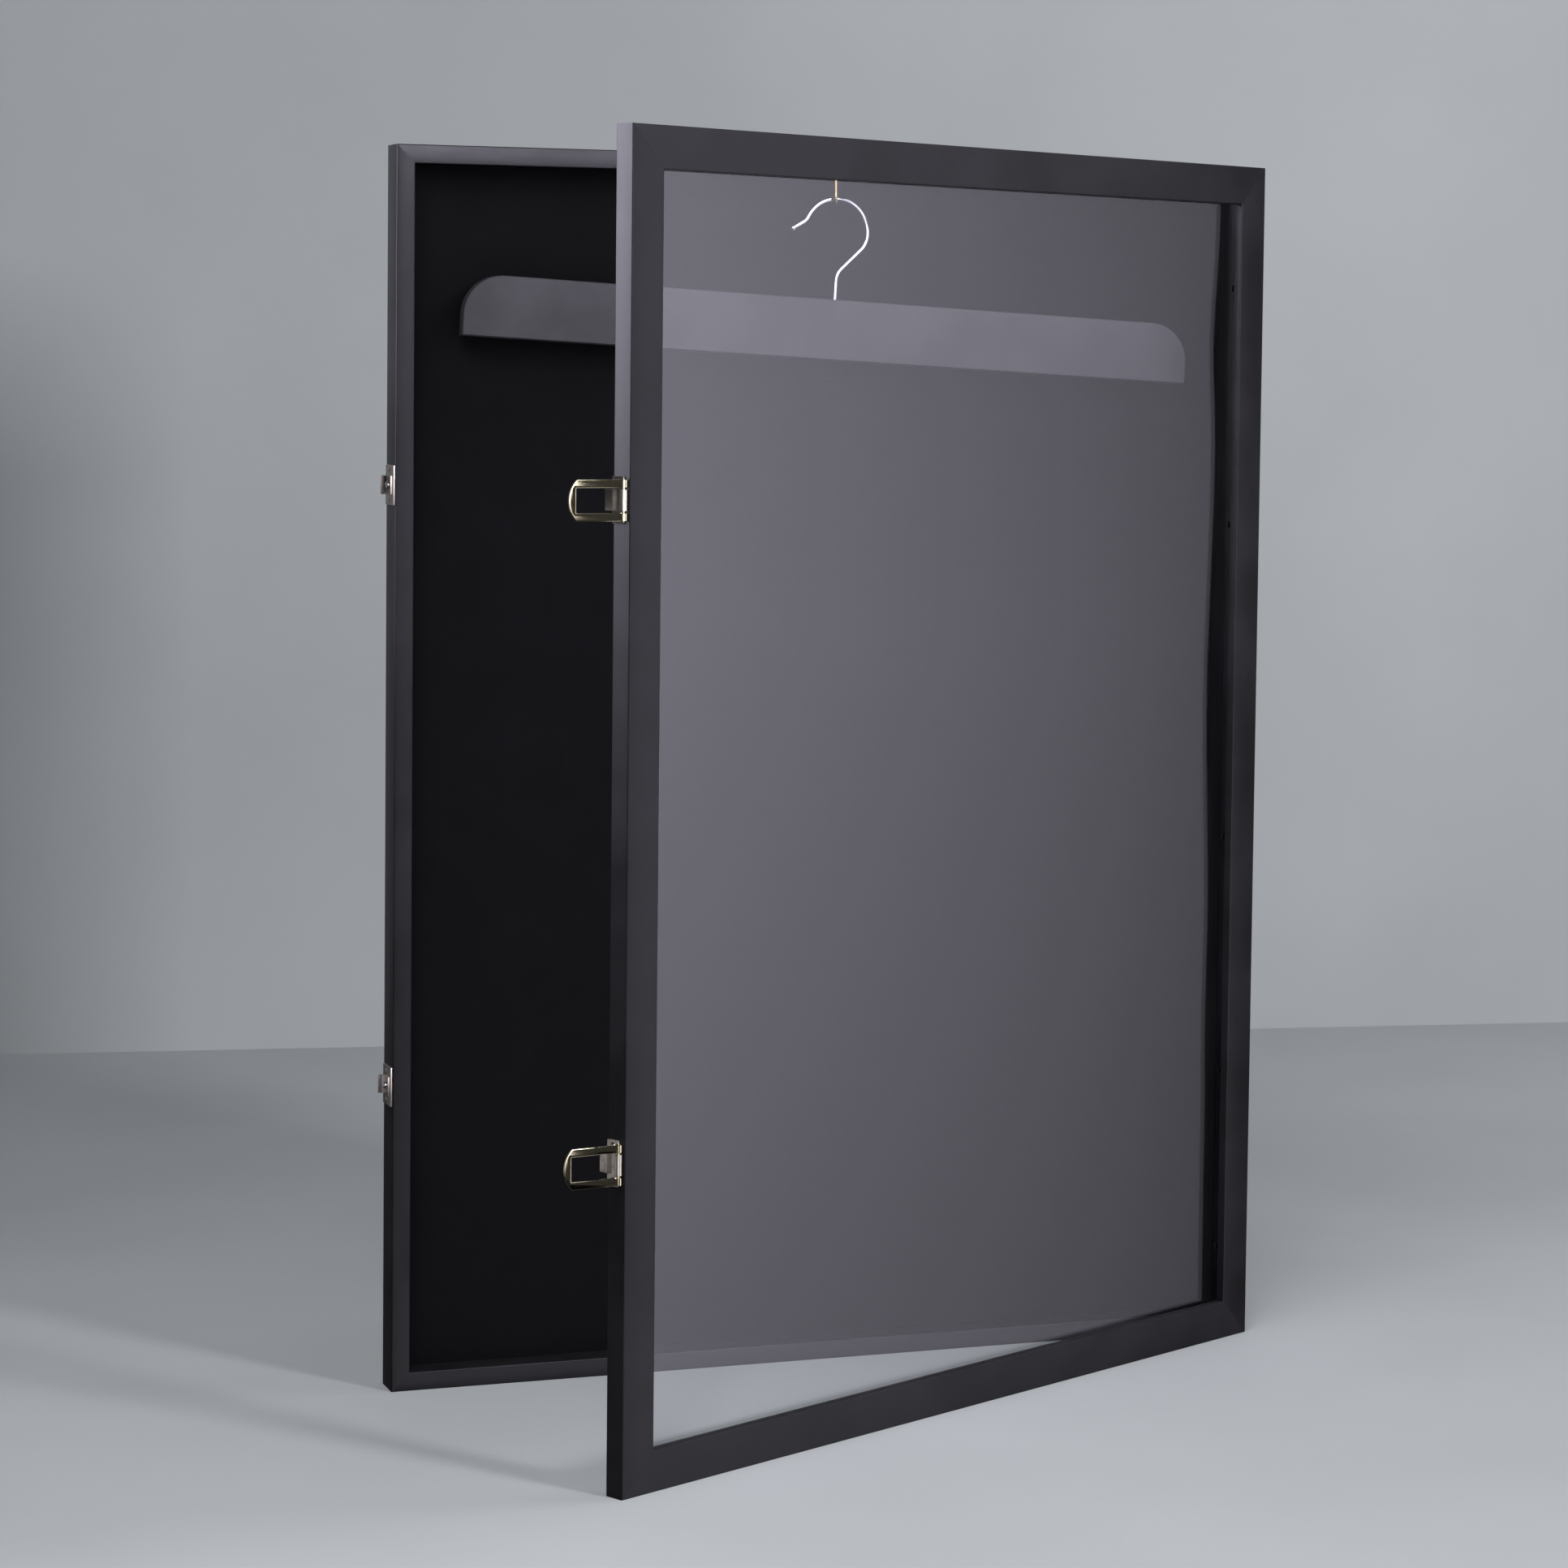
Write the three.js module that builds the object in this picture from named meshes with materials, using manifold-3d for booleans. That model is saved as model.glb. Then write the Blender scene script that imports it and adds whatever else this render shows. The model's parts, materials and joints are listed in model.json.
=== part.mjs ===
// Jersey display frame: a shallow wall case with a hinged, glazed front door, two side latches
// and a coat hanger that hangs inside from a screw hook.
// Millimetres. +X is right, +Y is towards the wall, +Z is up.
// The origin is the middle of the case's underside.
import * as THREE from "three";
import { mergeVertices } from "three/addons/utils/BufferGeometryUtils.js";
import Module from "manifold-3d";

const wasm = await Module();
wasm.setup();

// How far the moving pieces stand from their closed or level place.
const doorOpening = 26.5; // degrees
const haspOpening = 74; // degrees away from the door's side
const hangerTilt = 3; // degrees, right end down: its hook is bent a little off the bar's middle

// Outer size, and the clearance between pieces that would touch.
const width = 594;
const height = 800;
const gap = 0.3;
const mitreGap = 0.2;
const leftSide = -width / 2;
const rightSide = width / 2;

// Case: four mitred rails with a rabbet at the back for the board, which carries the felt.
const caseDepth = 24;
const caseFace = 12;
const caseFront = -caseDepth / 2;
const caseRear = caseDepth / 2;
const backThickness = 3;
const feltThickness = 1;
const backRabbetWidth = 4;
const backRabbetDepth = 4.2;
const feltFront = caseRear - backRabbetDepth - feltThickness;

// Door: four mitred rails with a front lip and a rabbet behind it for the acrylic sheet.
const doorGap = 1.2;
const doorDepth = 14;
const doorFace = 25.4;
const doorRear = caseFront - doorGap;
const doorFront = doorRear - doorDepth;
const lipDepth = 6;
const glazingRabbet = 6;
const acrylicThickness = 2;
const acrylicFront = doorFront + lipDepth + gap;
const acrylicRear = acrylicFront + acrylicThickness;
const pointSize = { width: 8, length: 9, thickness: 0.6, inWood: 4 };
const leftPointHeights = [650, 400, 150];
const rightPointHeights = [718, 345, 62];

// Butt hinges on the right side, let into the case and the door.
const hingeHeights = { upper: 680, lower: 120 };
const hingeX = rightSide + 2.6;
const hingeY = caseFront - doorGap / 2;
const barrelRadius = 2.2;
const barrelBore = 1.3;
const hingePinRadius = 1;
const leafHeight = 50;
const leafThickness = 1;
const leafEdgeX = rightSide - 9.4;
const knuckleGap = 0.4;
const hingePinProud = 0.8;
const hingeScrewX = rightSide - 5.5;
const hingeScrewSpread = 16;

// Latches: a base and a swinging hasp on the door's left side, a strike on the case's left side.
const latchHeights = { upper: 584, lower: 198 };
const latchPinX = leftSide - 3;
const latchPinY = doorFront + 2.5;
const latchPinRadius = 0.9;
const latchBore = 1.2;
const latchKnuckleRadius = 2.15;
const plateThickness = 1;
const latchBaseHeight = 27.4;
const tongueHeight = 12.5;
const haspHeight = 24.2;
const haspLength = 35.5;
const haspEndBow = 6;
const haspWindowHeight = 14.4;
const haspWindowEnd = 30.8;
const haspThickness = 1.5;
const haspSetBack = 0.9; // from the pin's axis to the hasp's outer face
const latchPinProud = 0.5;
const latchScrewY = doorFront + 9;
const latchScrewSpread = 10.4;
const strikeHeight = 25.6;
const strikeWidth = 20.5;
const strikeHookHeight = 12;
const strikeScrewY = caseFront + 11.3;
const strikePinSpread = 9.4;
const stripThickness = 0.8; // of the latch's tongue and the strike's catch

// Screw hook in the top rail, and the hanger on it.
const hookX = 1.5;
const hookY = -4;
const brassWireRadius = 1.3;
const bowlRadius = 4.5;
const bowlHeight = 774;
const bowlTipHeight = 4;
const bowlTurn = THREE.MathUtils.degToRad(20); // the bowl opens a little to the left of the front
const shankX = hookX + bowlRadius * Math.sin(bowlTurn);
const shankY = hookY + bowlRadius * Math.cos(bowlTurn);
const shankTop = height - 3;
const shankHoleTop = height - 2.4;
const contactHeight = bowlHeight - bowlRadius + brassWireRadius + gap / 2;
const chromeWireRadius = 1.6;
const hookTipRadius = 2;
const stemOffset = 3.2;
const stemDepth = 16;
const stemHoleDepth = 25;
const barOffset = 4.7;
const barLength = 508;
const barHeight = 40;
const barThickness = 9;
const barTop = -64.5; // from the contact with the screw hook
const barCornerRadius = 26;

// Sawtooth wall hangers on the back of the top rail.
const sawtoothX = { left: -180, right: 180 };
const sawtoothLength = 42;
const sawtoothHeight = 7;
const sawtoothZ = height - 0.4 - sawtoothHeight;
const sawtoothCount = 9;
const sawtoothThickness = 0.8;
const sawtoothShoulder = 7;
const sawtoothLean = 4;
const sawtoothCorner = 2;
const sawtoothBite = 1.8;
const nailSpread = 18.5;

// Screws and nails: radii and heights of the head, radius and length of the shank.
const smallScrew = { head: 1.7, rise: 1.3, shank: 0.8, length: 7 };
const strikeScrew = { head: 2.55, rise: 1.4, shank: 1.1, length: 9 };
const hingeScrew = { head: 1.9, rise: 0.9, shank: 0.9, length: 8 };
const nail = { head: 1.6, rise: 0.6, shank: 0.6, length: 9 };

// ---- Solids -------------------------------------------------------------------------------

function solidOf(geometry) {
  const bare = geometry.clone();
  bare.deleteAttribute("normal");
  bare.deleteAttribute("uv");
  const merged = mergeVertices(bare, 1e-4);
  return new wasm.Manifold(
    new wasm.Mesh({
      numProp: 3,
      vertProperties: new Float32Array(merged.attributes.position.array),
      triVerts: new Uint32Array(merged.index.array),
    }),
  );
}

function geometryOf(solid) {
  const mesh = solid.getMesh();
  const geometry = new THREE.BufferGeometry();
  geometry.setAttribute("position", new THREE.BufferAttribute(mesh.vertProperties, 3));
  geometry.setIndex(new THREE.BufferAttribute(mesh.triVerts, 1));
  const faceted = geometry.toNonIndexed();
  faceted.computeVertexNormals();
  return faceted;
}

function joined(solids) {
  return solids.reduce((whole, piece) => whole.add(piece));
}

function cut(solid, cutters) {
  return cutters.reduce((rest, cutter) => rest.subtract(cutter), solid);
}

function block([x0, x1], [y0, y1], [z0, z1]) {
  const box = new THREE.BoxGeometry(x1 - x0, y1 - y0, z1 - z0);
  box.translate((x0 + x1) / 2, (y0 + y1) / 2, (z0 + z1) / 2);
  return solidOf(box);
}

function shapeOf(points) {
  return new THREE.Shape(points.map(([a, b]) => new THREE.Vector2(a, b)));
}

// An outline in X and Z, as thick as the range in Y.
function extrudedInY(shape, [y0, y1], curveSegments = 12) {
  const prism = new THREE.ExtrudeGeometry(shape, { depth: y1 - y0, bevelEnabled: false, curveSegments });
  prism.rotateX(Math.PI / 2);
  prism.translate(0, y1, 0);
  return solidOf(prism);
}

// An outline in Y and Z, as thick as the range in X.
function extrudedInX(shape, [x0, x1], curveSegments = 12) {
  const prism = new THREE.ExtrudeGeometry(shape, { depth: x1 - x0, bevelEnabled: false, curveSegments });
  prism.rotateX(Math.PI / 2);
  prism.rotateZ(Math.PI / 2);
  prism.translate(x0, 0, 0);
  return solidOf(prism);
}

// An outline in X and Y, as tall as the range in Z.
function extrudedInZ(shape, [z0, z1], curveSegments = 12) {
  const prism = new THREE.ExtrudeGeometry(shape, { depth: z1 - z0, bevelEnabled: false, curveSegments });
  prism.translate(0, 0, z0);
  return solidOf(prism);
}

function rod(radius, start, end, sides = 16) {
  const from = new THREE.Vector3(...start);
  const along = new THREE.Vector3(...end).sub(from);
  const cylinder = new THREE.CylinderGeometry(radius, radius, along.length(), sides);
  const turn = new THREE.Quaternion().setFromUnitVectors(
    new THREE.Vector3(0, 1, 0),
    along.clone().normalize(),
  );
  cylinder.applyQuaternion(turn);
  cylinder.translate(...from.addScaledVector(along, 0.5).toArray());
  return solidOf(cylinder);
}

// A domed or flat-headed screw or nail. "at" is where the head's underside meets the shank's axis.
function fastener({ head, rise, shank, length }, at, facing, dome = 0.5) {
  const profile = [
    [0, -length],
    [shank * 0.4, -length],
    [shank, -length + 1.2],
    [shank, 0],
    [head, 0],
    [head, rise * (1 - dome)],
    [head * 0.72, rise * (1 - dome * 0.25)],
    [0, rise],
  ].map(([r, y]) => new THREE.Vector2(r, y));
  const turned = new THREE.LatheGeometry(profile, 14);
  const turn = new THREE.Quaternion().setFromUnitVectors(
    new THREE.Vector3(0, 1, 0),
    new THREE.Vector3(...facing),
  );
  turned.applyQuaternion(turn);
  turned.translate(...at);
  return solidOf(turned);
}

// The hole that a fastener's shank needs in the wood behind it.
function pilotHole({ shank, length }, [x, y, z], [fx, fy, fz]) {
  const deep = length + gap;
  const start = [x + fx, y + fy, z + fz];
  return rod(shank + gap, start, [x - fx * deep, y - fy * deep, z - fz * deep], 12);
}

// Points along a bent wire: each stretch is a length and the angle through which it turns left.
function bentLine(start, heading, stretches) {
  let [a, b] = start;
  let direction = THREE.MathUtils.degToRad(heading);
  const points = [[a, b]];
  for (const { length, turn = 0 } of stretches) {
    const steps = Math.max(1, Math.round(Math.abs(turn) / 11));
    for (let i = 0; i < steps; i += 1) {
      direction += THREE.MathUtils.degToRad(turn) / steps / 2;
      a += (length / steps) * Math.cos(direction);
      b += (length / steps) * Math.sin(direction);
      direction += THREE.MathUtils.degToRad(turn) / steps / 2;
      points.push([a, b]);
    }
  }
  return points;
}

// The length of an arc, for bentLine.
function arc(radius, turn) {
  return { length: radius * THREE.MathUtils.degToRad(Math.abs(turn)), turn };
}

function wire(points, radius, steps) {
  const path = new THREE.CatmullRomCurve3(
    points.map((p) => new THREE.Vector3(...p)),
    false,
    "centripetal",
  );
  const section = new THREE.Shape().absarc(0, 0, radius, 0, 2 * Math.PI);
  const curveSegments = 5; // ten sides
  return solidOf(
    new THREE.ExtrudeGeometry(section, { steps, extrudePath: path, curveSegments, bevelEnabled: false }),
  );
}

function ball(radius, [x, y, z]) {
  const sphere = new THREE.SphereGeometry(radius, 14, 10);
  sphere.translate(x, y, z);
  return solidOf(sphere);
}

// A strip of sheet metal of even thickness, bent along a line of points.
function ribbon(points, thickness) {
  const line = points.map(([a, b]) => new THREE.Vector2(a, b));
  const last = line.length - 1;
  const beside = (side) =>
    line.map((p, i) => {
      const next = line[Math.min(i + 1, last)].clone();
      const along = next.sub(line[Math.max(i - 1, 0)]).normalize();
      return new THREE.Vector2(-along.y, along.x).multiplyScalar((side * thickness) / 2).add(p);
    });
  return new THREE.Shape([...beside(1), ...beside(-1).reverse()]);
}

// ---- Scene graph --------------------------------------------------------------------------

const finishes = {
  blackPaint: { color: 0x2b2a2e, roughness: 0.45, metalness: 0 },
  hardboard: { color: 0x5a4634, roughness: 0.9, metalness: 0 },
  felt: { color: 0x0d0d10, roughness: 1, metalness: 0 },
  acrylic: { color: 0xdde2e6, roughness: 0.05, metalness: 0, transparent: true, opacity: 0.2 },
  paleGold: { color: 0xd9cfa6, roughness: 0.15, metalness: 1 },
  nickel: { color: 0xbdb09f, roughness: 0.35, metalness: 1 },
  steel: { color: 0x9a9a9c, roughness: 0.4, metalness: 1 },
  brass: { color: 0xa1814f, roughness: 0.3, metalness: 1 },
  chrome: { color: 0xe2e2e4, roughness: 0.08, metalness: 1 },
};

const frame = new THREE.Group();

function add(parent, name, solid, finish) {
  const mesh = new THREE.Mesh(geometryOf(solid), new THREE.MeshStandardMaterial(finishes[finish]));
  mesh.name = name;
  parent.add(mesh);
}

// A group whose pieces are placed as if it were closed, and which is turned about an upright axis.
function turnedAbout(parent, x, y, degrees) {
  const axis = new THREE.Group();
  axis.position.set(x, y, 0);
  axis.rotation.z = THREE.MathUtils.degToRad(degrees);
  const closed = new THREE.Group();
  closed.position.set(-x, -y, 0);
  axis.add(closed);
  parent.add(axis);
  return closed;
}

// The four mitred sides of a rectangular frame, each an outline in X and Z.
function mitredSides(face) {
  const short = mitreGap / Math.SQRT2;
  const [l, r, t] = [leftSide, rightSide, height];
  const inner = face + short;
  return {
    left_stile: [[l, short], [l, t - short], [l + face, t - inner], [l + face, inner]],
    right_stile: [[r, short], [r, t - short], [r - face, t - inner], [r - face, inner]],
    top_rail: [[l + short, t], [r - short, t], [r - inner, t - face], [l + inner, t - face]],
    bottom_rail: [[l + short, 0], [r - short, 0], [r - inner, face], [l + inner, face]],
  };
}

// Everything inside the frame's face, from one depth to another: what a rabbet takes away.
function rabbet(face, rabbetWidth, depth) {
  const edge = face - rabbetWidth;
  return block([leftSide + edge, rightSide - edge], depth, [edge, height - edge]);
}

// ---- Case ---------------------------------------------------------------------------------

const latchSides = Object.entries(latchHeights);
const hingeSides = Object.entries(hingeHeights);
const upAndDown = [1, -1];
const facingLeft = [-1, 0, 0];
const facingFront = [0, -1, 0];
const facingBack = [0, 1, 0];

const plateX = [leftSide - gap - plateThickness, leftSide - gap];
const pinHeadX = leftSide - 0.7;

function strikeFasteners(z) {
  const screwX = plateX[0] - stripThickness - gap;
  return [
    { name: "screw", kind: strikeScrew, at: [screwX, strikeScrewY, z] },
    { name: "pin_1", kind: smallScrew, at: [pinHeadX, strikeScrewY, z + strikePinSpread] },
    { name: "pin_2", kind: smallScrew, at: [pinHeadX, strikeScrewY, z - strikePinSpread] },
  ];
}

// The heads lie in holes in the leaf, just proud of the wood behind it.
function hingeScrews(z, face, facing) {
  const y = face - facing[1] * (leafThickness - 0.1);
  return upAndDown.map((side) => [hingeScrewX, y, z + side * hingeScrewSpread]);
}

function nailPlaces(x) {
  const y = caseRear + gap + sawtoothThickness + gap;
  return upAndDown.map((side) => [x + side * nailSpread, y, sawtoothZ + sawtoothHeight * 0.6]);
}

const caseLeafFace = caseFront - gap;
const doorLeafFace = doorRear + gap;

function hingeMortise(z, y) {
  const tall = leafHeight / 2 + gap;
  return block([leafEdgeX - gap, rightSide + 1], y, [z - tall, z + tall]);
}

const caseCuts = {
  left_stile: latchSides.flatMap(([, z]) =>
    strikeFasteners(z).map(({ kind, at }) => pilotHole(kind, at, facingLeft)),
  ),
  right_stile: hingeSides.flatMap(([, z]) => [
    hingeMortise(z, [hingeY, caseLeafFace + leafThickness + gap]),
    ...hingeScrews(z, caseLeafFace, facingFront).map((at) => pilotHole(hingeScrew, at, facingFront)),
  ]),
  top_rail: [
    rod(brassWireRadius + gap, [shankX, shankY, shankHoleTop], [shankX, shankY, bowlHeight]),
    ...Object.values(sawtoothX)
      .flatMap(nailPlaces)
      .map((at) => pilotHole(nail, at, facingBack)),
  ],
  bottom_rail: [],
};

const backRabbet = rabbet(caseFace, backRabbetWidth, [caseRear - backRabbetDepth, caseRear + 1]);
for (const [side, outline] of Object.entries(mitredSides(caseFace))) {
  const rail = extrudedInY(shapeOf(outline), [caseFront, caseRear]);
  add(frame, `case_${side}`, cut(rail, [backRabbet, ...caseCuts[side]]), "blackPaint");
}

// A flat panel as large as the frame less an edge all round.
function panel(edge, front, thickness) {
  const [x, z] = [[leftSide + edge, rightSide - edge], [edge, height - edge]];
  return block(x, [front, front + thickness], z);
}

const backEdge = caseFace - backRabbetWidth + gap;
const backFront = caseRear - backRabbetDepth + gap;
add(frame, "back_board", panel(backEdge, backFront, backThickness), "hardboard");
add(frame, "felt_lining", panel(caseFace + gap, feltFront, feltThickness), "felt");

// Sawtooth hangers: a nailed strip with teeth along its lower edge.
for (const [side, x] of Object.entries(sawtoothX)) {
  const [start, end] = [x - sawtoothLength / 2, x + sawtoothLength / 2];
  const pitch = (sawtoothLength - 2 * sawtoothShoulder) / sawtoothCount;
  const teeth = Array.from({ length: sawtoothCount }, (_, i) => {
    const left = start + sawtoothShoulder + i * pitch;
    return [[left, sawtoothZ], [left + pitch / 2, sawtoothZ + sawtoothBite]];
  }).flat();
  const outline = [
    [start, sawtoothZ + sawtoothHeight],
    [start, sawtoothZ + sawtoothCorner],
    [start + sawtoothLean, sawtoothZ],
    ...teeth,
    [end - sawtoothShoulder, sawtoothZ],
    [end - sawtoothLean, sawtoothZ],
    [end, sawtoothZ + sawtoothCorner],
    [end, sawtoothZ + sawtoothHeight],
  ];
  const plate = extrudedInY(shapeOf(outline), [caseRear + gap, caseRear + gap + sawtoothThickness]);
  const holes = nailPlaces(x).map((at) => pilotHole(nail, at, facingBack));
  add(frame, `${side}_sawtooth_hanger`, cut(plate, holes), "steel");
  nailPlaces(x).forEach((at, i) => {
    add(frame, `${side}_sawtooth_nail_${i + 1}`, fastener(nail, at, facingBack), "steel");
  });
}

// Strikes: a flat plate with a raised middle strip, whose rear end curls out into a catch.
for (const [side, z] of latchSides) {
  const plateY = [caseFront + gap, caseFront + gap + strikeWidth];
  const plate = block(plateX, plateY, [z - strikeHeight / 2, z + strikeHeight / 2]);
  const stripX = plateX[0] - 0.35;
  const curl = [
    [stripX, caseFront + 4.8],
    [stripX, 1.6],
    [leftSide - 2.2, 2.9],
    [leftSide - 3.1, 4.1],
    [leftSide - 4.2, 4.9],
    [leftSide - 5.4, 5.5],
  ];
  const stripZ = [z - strikeHookHeight / 2, z + strikeHookHeight / 2];
  const strip = extrudedInZ(ribbon(curl, stripThickness), stripZ);
  const fasteners = strikeFasteners(z);
  const pinHoles = fasteners.slice(1).map(({ at: [x, y, pinZ] }) =>
    rod(smallScrew.head + gap, [x - 2, y, pinZ], [x + 2, y, pinZ]),
  );
  const screwHole = pilotHole(strikeScrew, fasteners[0].at, facingLeft);
  add(frame, `${side}_strike`, cut(joined([plate, strip]), [screwHole, ...pinHoles]), "nickel");
  for (const { name, kind, at } of fasteners) {
    const solid = fastener(kind, at, facingLeft, 0.6);
    add(frame, `${side}_strike_${name}`, solid, "nickel");
  }
}

// Screw hook: threaded into the top rail, its bowl open towards the front.
const bowl = bentLine([0, shankTop], -90, [
  { length: shankTop - bowlHeight },
  arc(bowlRadius, 180),
  { length: bowlTipHeight },
]).map(([reach, z]) => [shankX - reach * Math.sin(bowlTurn), shankY - reach * Math.cos(bowlTurn), z]);
add(frame, "screw_hook", wire(bowl, brassWireRadius, 30), "brass");

// ---- Hinges -------------------------------------------------------------------------------

const thirds = leafHeight / 3;
const outerKnuckles = upAndDown.map((side) =>
  [side * (thirds / 2 + knuckleGap / 2), side * (leafHeight / 2)].sort((a, b) => a - b),
);
const middleReach = thirds / 2 - knuckleGap / 2;
const middleKnuckle = [[-middleReach, middleReach]];

// A leaf with its own knuckles; leafY is the range between its faces.
function hingeLeaf(z, leafY, knuckles) {
  const half = leafHeight / 2;
  const plate = block([leafEdgeX, rightSide - 0.1], leafY, [z - half, z + half]);
  const barrels = knuckles.flatMap(([low, high]) => [
    block([rightSide - 0.5, hingeX - barrelBore], leafY, [z + low, z + high]),
    rod(barrelRadius, [hingeX, hingeY, z + low], [hingeX, hingeY, z + high], 20),
  ]);
  const bore = rod(barrelBore, [hingeX, hingeY, z - leafHeight], [hingeX, hingeY, z + leafHeight], 20);
  return cut(joined([plate, ...barrels]), [bore]);
}

function withScrewHoles(leaf, places) {
  return cut(
    leaf,
    places.map(([x, y, z]) => rod(hingeScrew.head + gap, [x, y - 3, z], [x, y + 3, z])),
  );
}

for (const [side, z] of hingeSides) {
  const places = hingeScrews(z, caseLeafFace, facingFront);
  const leaf = hingeLeaf(z, [caseLeafFace, caseLeafFace + leafThickness], outerKnuckles);
  add(frame, `${side}_hinge_case_leaf`, withScrewHoles(leaf, places), "nickel");
  const pinHalf = leafHeight / 2 + hingePinProud;
  const pin = rod(hingePinRadius, [hingeX, hingeY, z - pinHalf], [hingeX, hingeY, z + pinHalf], 14);
  add(frame, `${side}_hinge_pin`, pin, "nickel");
  places.forEach((at, i) => {
    const screw = fastener(hingeScrew, at, facingFront, 0);
    add(frame, `${side}_hinge_case_screw_${i + 1}`, screw, "nickel");
  });
}

// ---- Door ---------------------------------------------------------------------------------

const door = turnedAbout(frame, hingeX, hingeY, doorOpening);

// Glazing points: thin blades driven into the rabbet's wall, which hold the acrylic forwards.
const sightX = rightSide - doorFace + glazingRabbet;
const sightLow = doorFace - glazingRabbet;
const glazingPoints = [
  ...leftPointHeights.map((z, i) => ({ name: `left_${i + 1}`, x: -sightX, z, inwards: [1, 0] })),
  ...rightPointHeights.map((z, i) => ({ name: `right_${i + 1}`, x: sightX, z, inwards: [-1, 0] })),
  { name: "top", x: 0, z: height - sightLow, inwards: [0, -1] },
  { name: "bottom", x: 0, z: sightLow, inwards: [0, 1] },
];

function pointBlade({ x, z, inwards: [ix, iz] }, extra) {
  const back = pointSize.inWood + extra;
  const reach = pointSize.length - pointSize.inWood;
  const half = pointSize.width / 2 + extra;
  const xs = [x - ix * back, x + ix * reach, x - iz * half, x + iz * half];
  const zs = [z - iz * back, z + iz * reach, z - ix * half, z + ix * half];
  const bladeY = acrylicRear + gap;
  return block(
    [Math.min(...xs), Math.max(...xs)],
    [bladeY - extra, bladeY + pointSize.thickness + extra],
    [Math.min(...zs), Math.max(...zs)],
  );
}

function latchScrewPlaces(z) {
  return upAndDown.map((side) => [pinHeadX, latchScrewY, z + side * latchScrewSpread]);
}

const doorCuts = {
  left_stile: latchSides.flatMap(([, z]) =>
    latchScrewPlaces(z).map((at) => pilotHole(smallScrew, at, facingLeft)),
  ),
  right_stile: hingeSides.flatMap(([, z]) => [
    hingeMortise(z, [doorLeafFace - leafThickness - gap, hingeY]),
    ...hingeScrews(z, doorLeafFace, facingBack).map((at) => pilotHole(hingeScrew, at, facingBack)),
  ]),
  top_rail: [],
  bottom_rail: [],
};

const glazingSeat = rabbet(doorFace, glazingRabbet, [doorFront + lipDepth, doorRear + 1]);
const pointSlots = glazingPoints.map((point) => pointBlade(point, gap));
for (const [side, outline] of Object.entries(mitredSides(doorFace))) {
  const rail = extrudedInY(shapeOf(outline), [doorFront, doorRear]);
  const cuts = [glazingSeat, ...pointSlots, ...doorCuts[side]];
  add(door, `door_${side}`, cut(rail, cuts), "blackPaint");
}

const acrylicEdge = doorFace - glazingRabbet + gap * 2;
add(door, "acrylic_panel", panel(acrylicEdge, acrylicFront, acrylicThickness), "acrylic");
for (const point of glazingPoints) {
  add(door, `glazing_point_${point.name}`, pointBlade(point, 0), "steel");
}

for (const [side, z] of hingeSides) {
  const places = hingeScrews(z, doorLeafFace, facingBack);
  const leaf = hingeLeaf(z, [doorLeafFace - leafThickness, doorLeafFace], middleKnuckle);
  add(door, `${side}_hinge_door_leaf`, withScrewHoles(leaf, places), "nickel");
  places.forEach((at, i) => {
    const screw = fastener(hingeScrew, at, facingBack, 0);
    add(door, `${side}_hinge_door_screw_${i + 1}`, screw, "nickel");
  });
}

// ---- Latches ------------------------------------------------------------------------------

function onLatchPin(radius, low, high) {
  return rod(radius, [latchPinX, latchPinY, low], [latchPinX, latchPinY, high]);
}

// The base is a plate with a middle strip. The strip's front end curls round the pin, and its rear
// end steps out and reaches over the edge of the case.
function latchBase(z) {
  const plateZ = [z - latchBaseHeight / 2, z + latchBaseHeight / 2];
  const plate = block(plateX, [latchPinY + 1.8, doorRear - gap], plateZ);
  const middle = [z - tongueHeight / 2, z + tongueHeight / 2];
  const neck = block(plateX, [latchPinY, latchPinY + 3], middle);
  const tongue = ribbon(
    [
      [leftSide - 0.8, latchPinY + 5],
      [leftSide - 0.9, doorRear - 4.4],
      [leftSide - 1.3, doorRear - 3.2],
      [leftSide - 2.1, doorRear - 1.8],
      [leftSide - 2.2, doorRear - 0.4],
      [leftSide - 2.2, doorRear + 4.4],
    ],
    stripThickness,
  );
  const knuckle = onLatchPin(latchKnuckleRadius, ...middle);
  const bore = onLatchPin(latchBore, plateZ[0] - 1, plateZ[1] + 1);
  const screwHoles = latchScrewPlaces(z).map(([x, y, holeZ]) =>
    rod(smallScrew.head + gap, [x - 2, y, holeZ], [x + 2, y, holeZ]),
  );
  return cut(joined([plate, neck, extrudedInZ(tongue, middle), knuckle]), [bore, ...screwHoles]);
}

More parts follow.
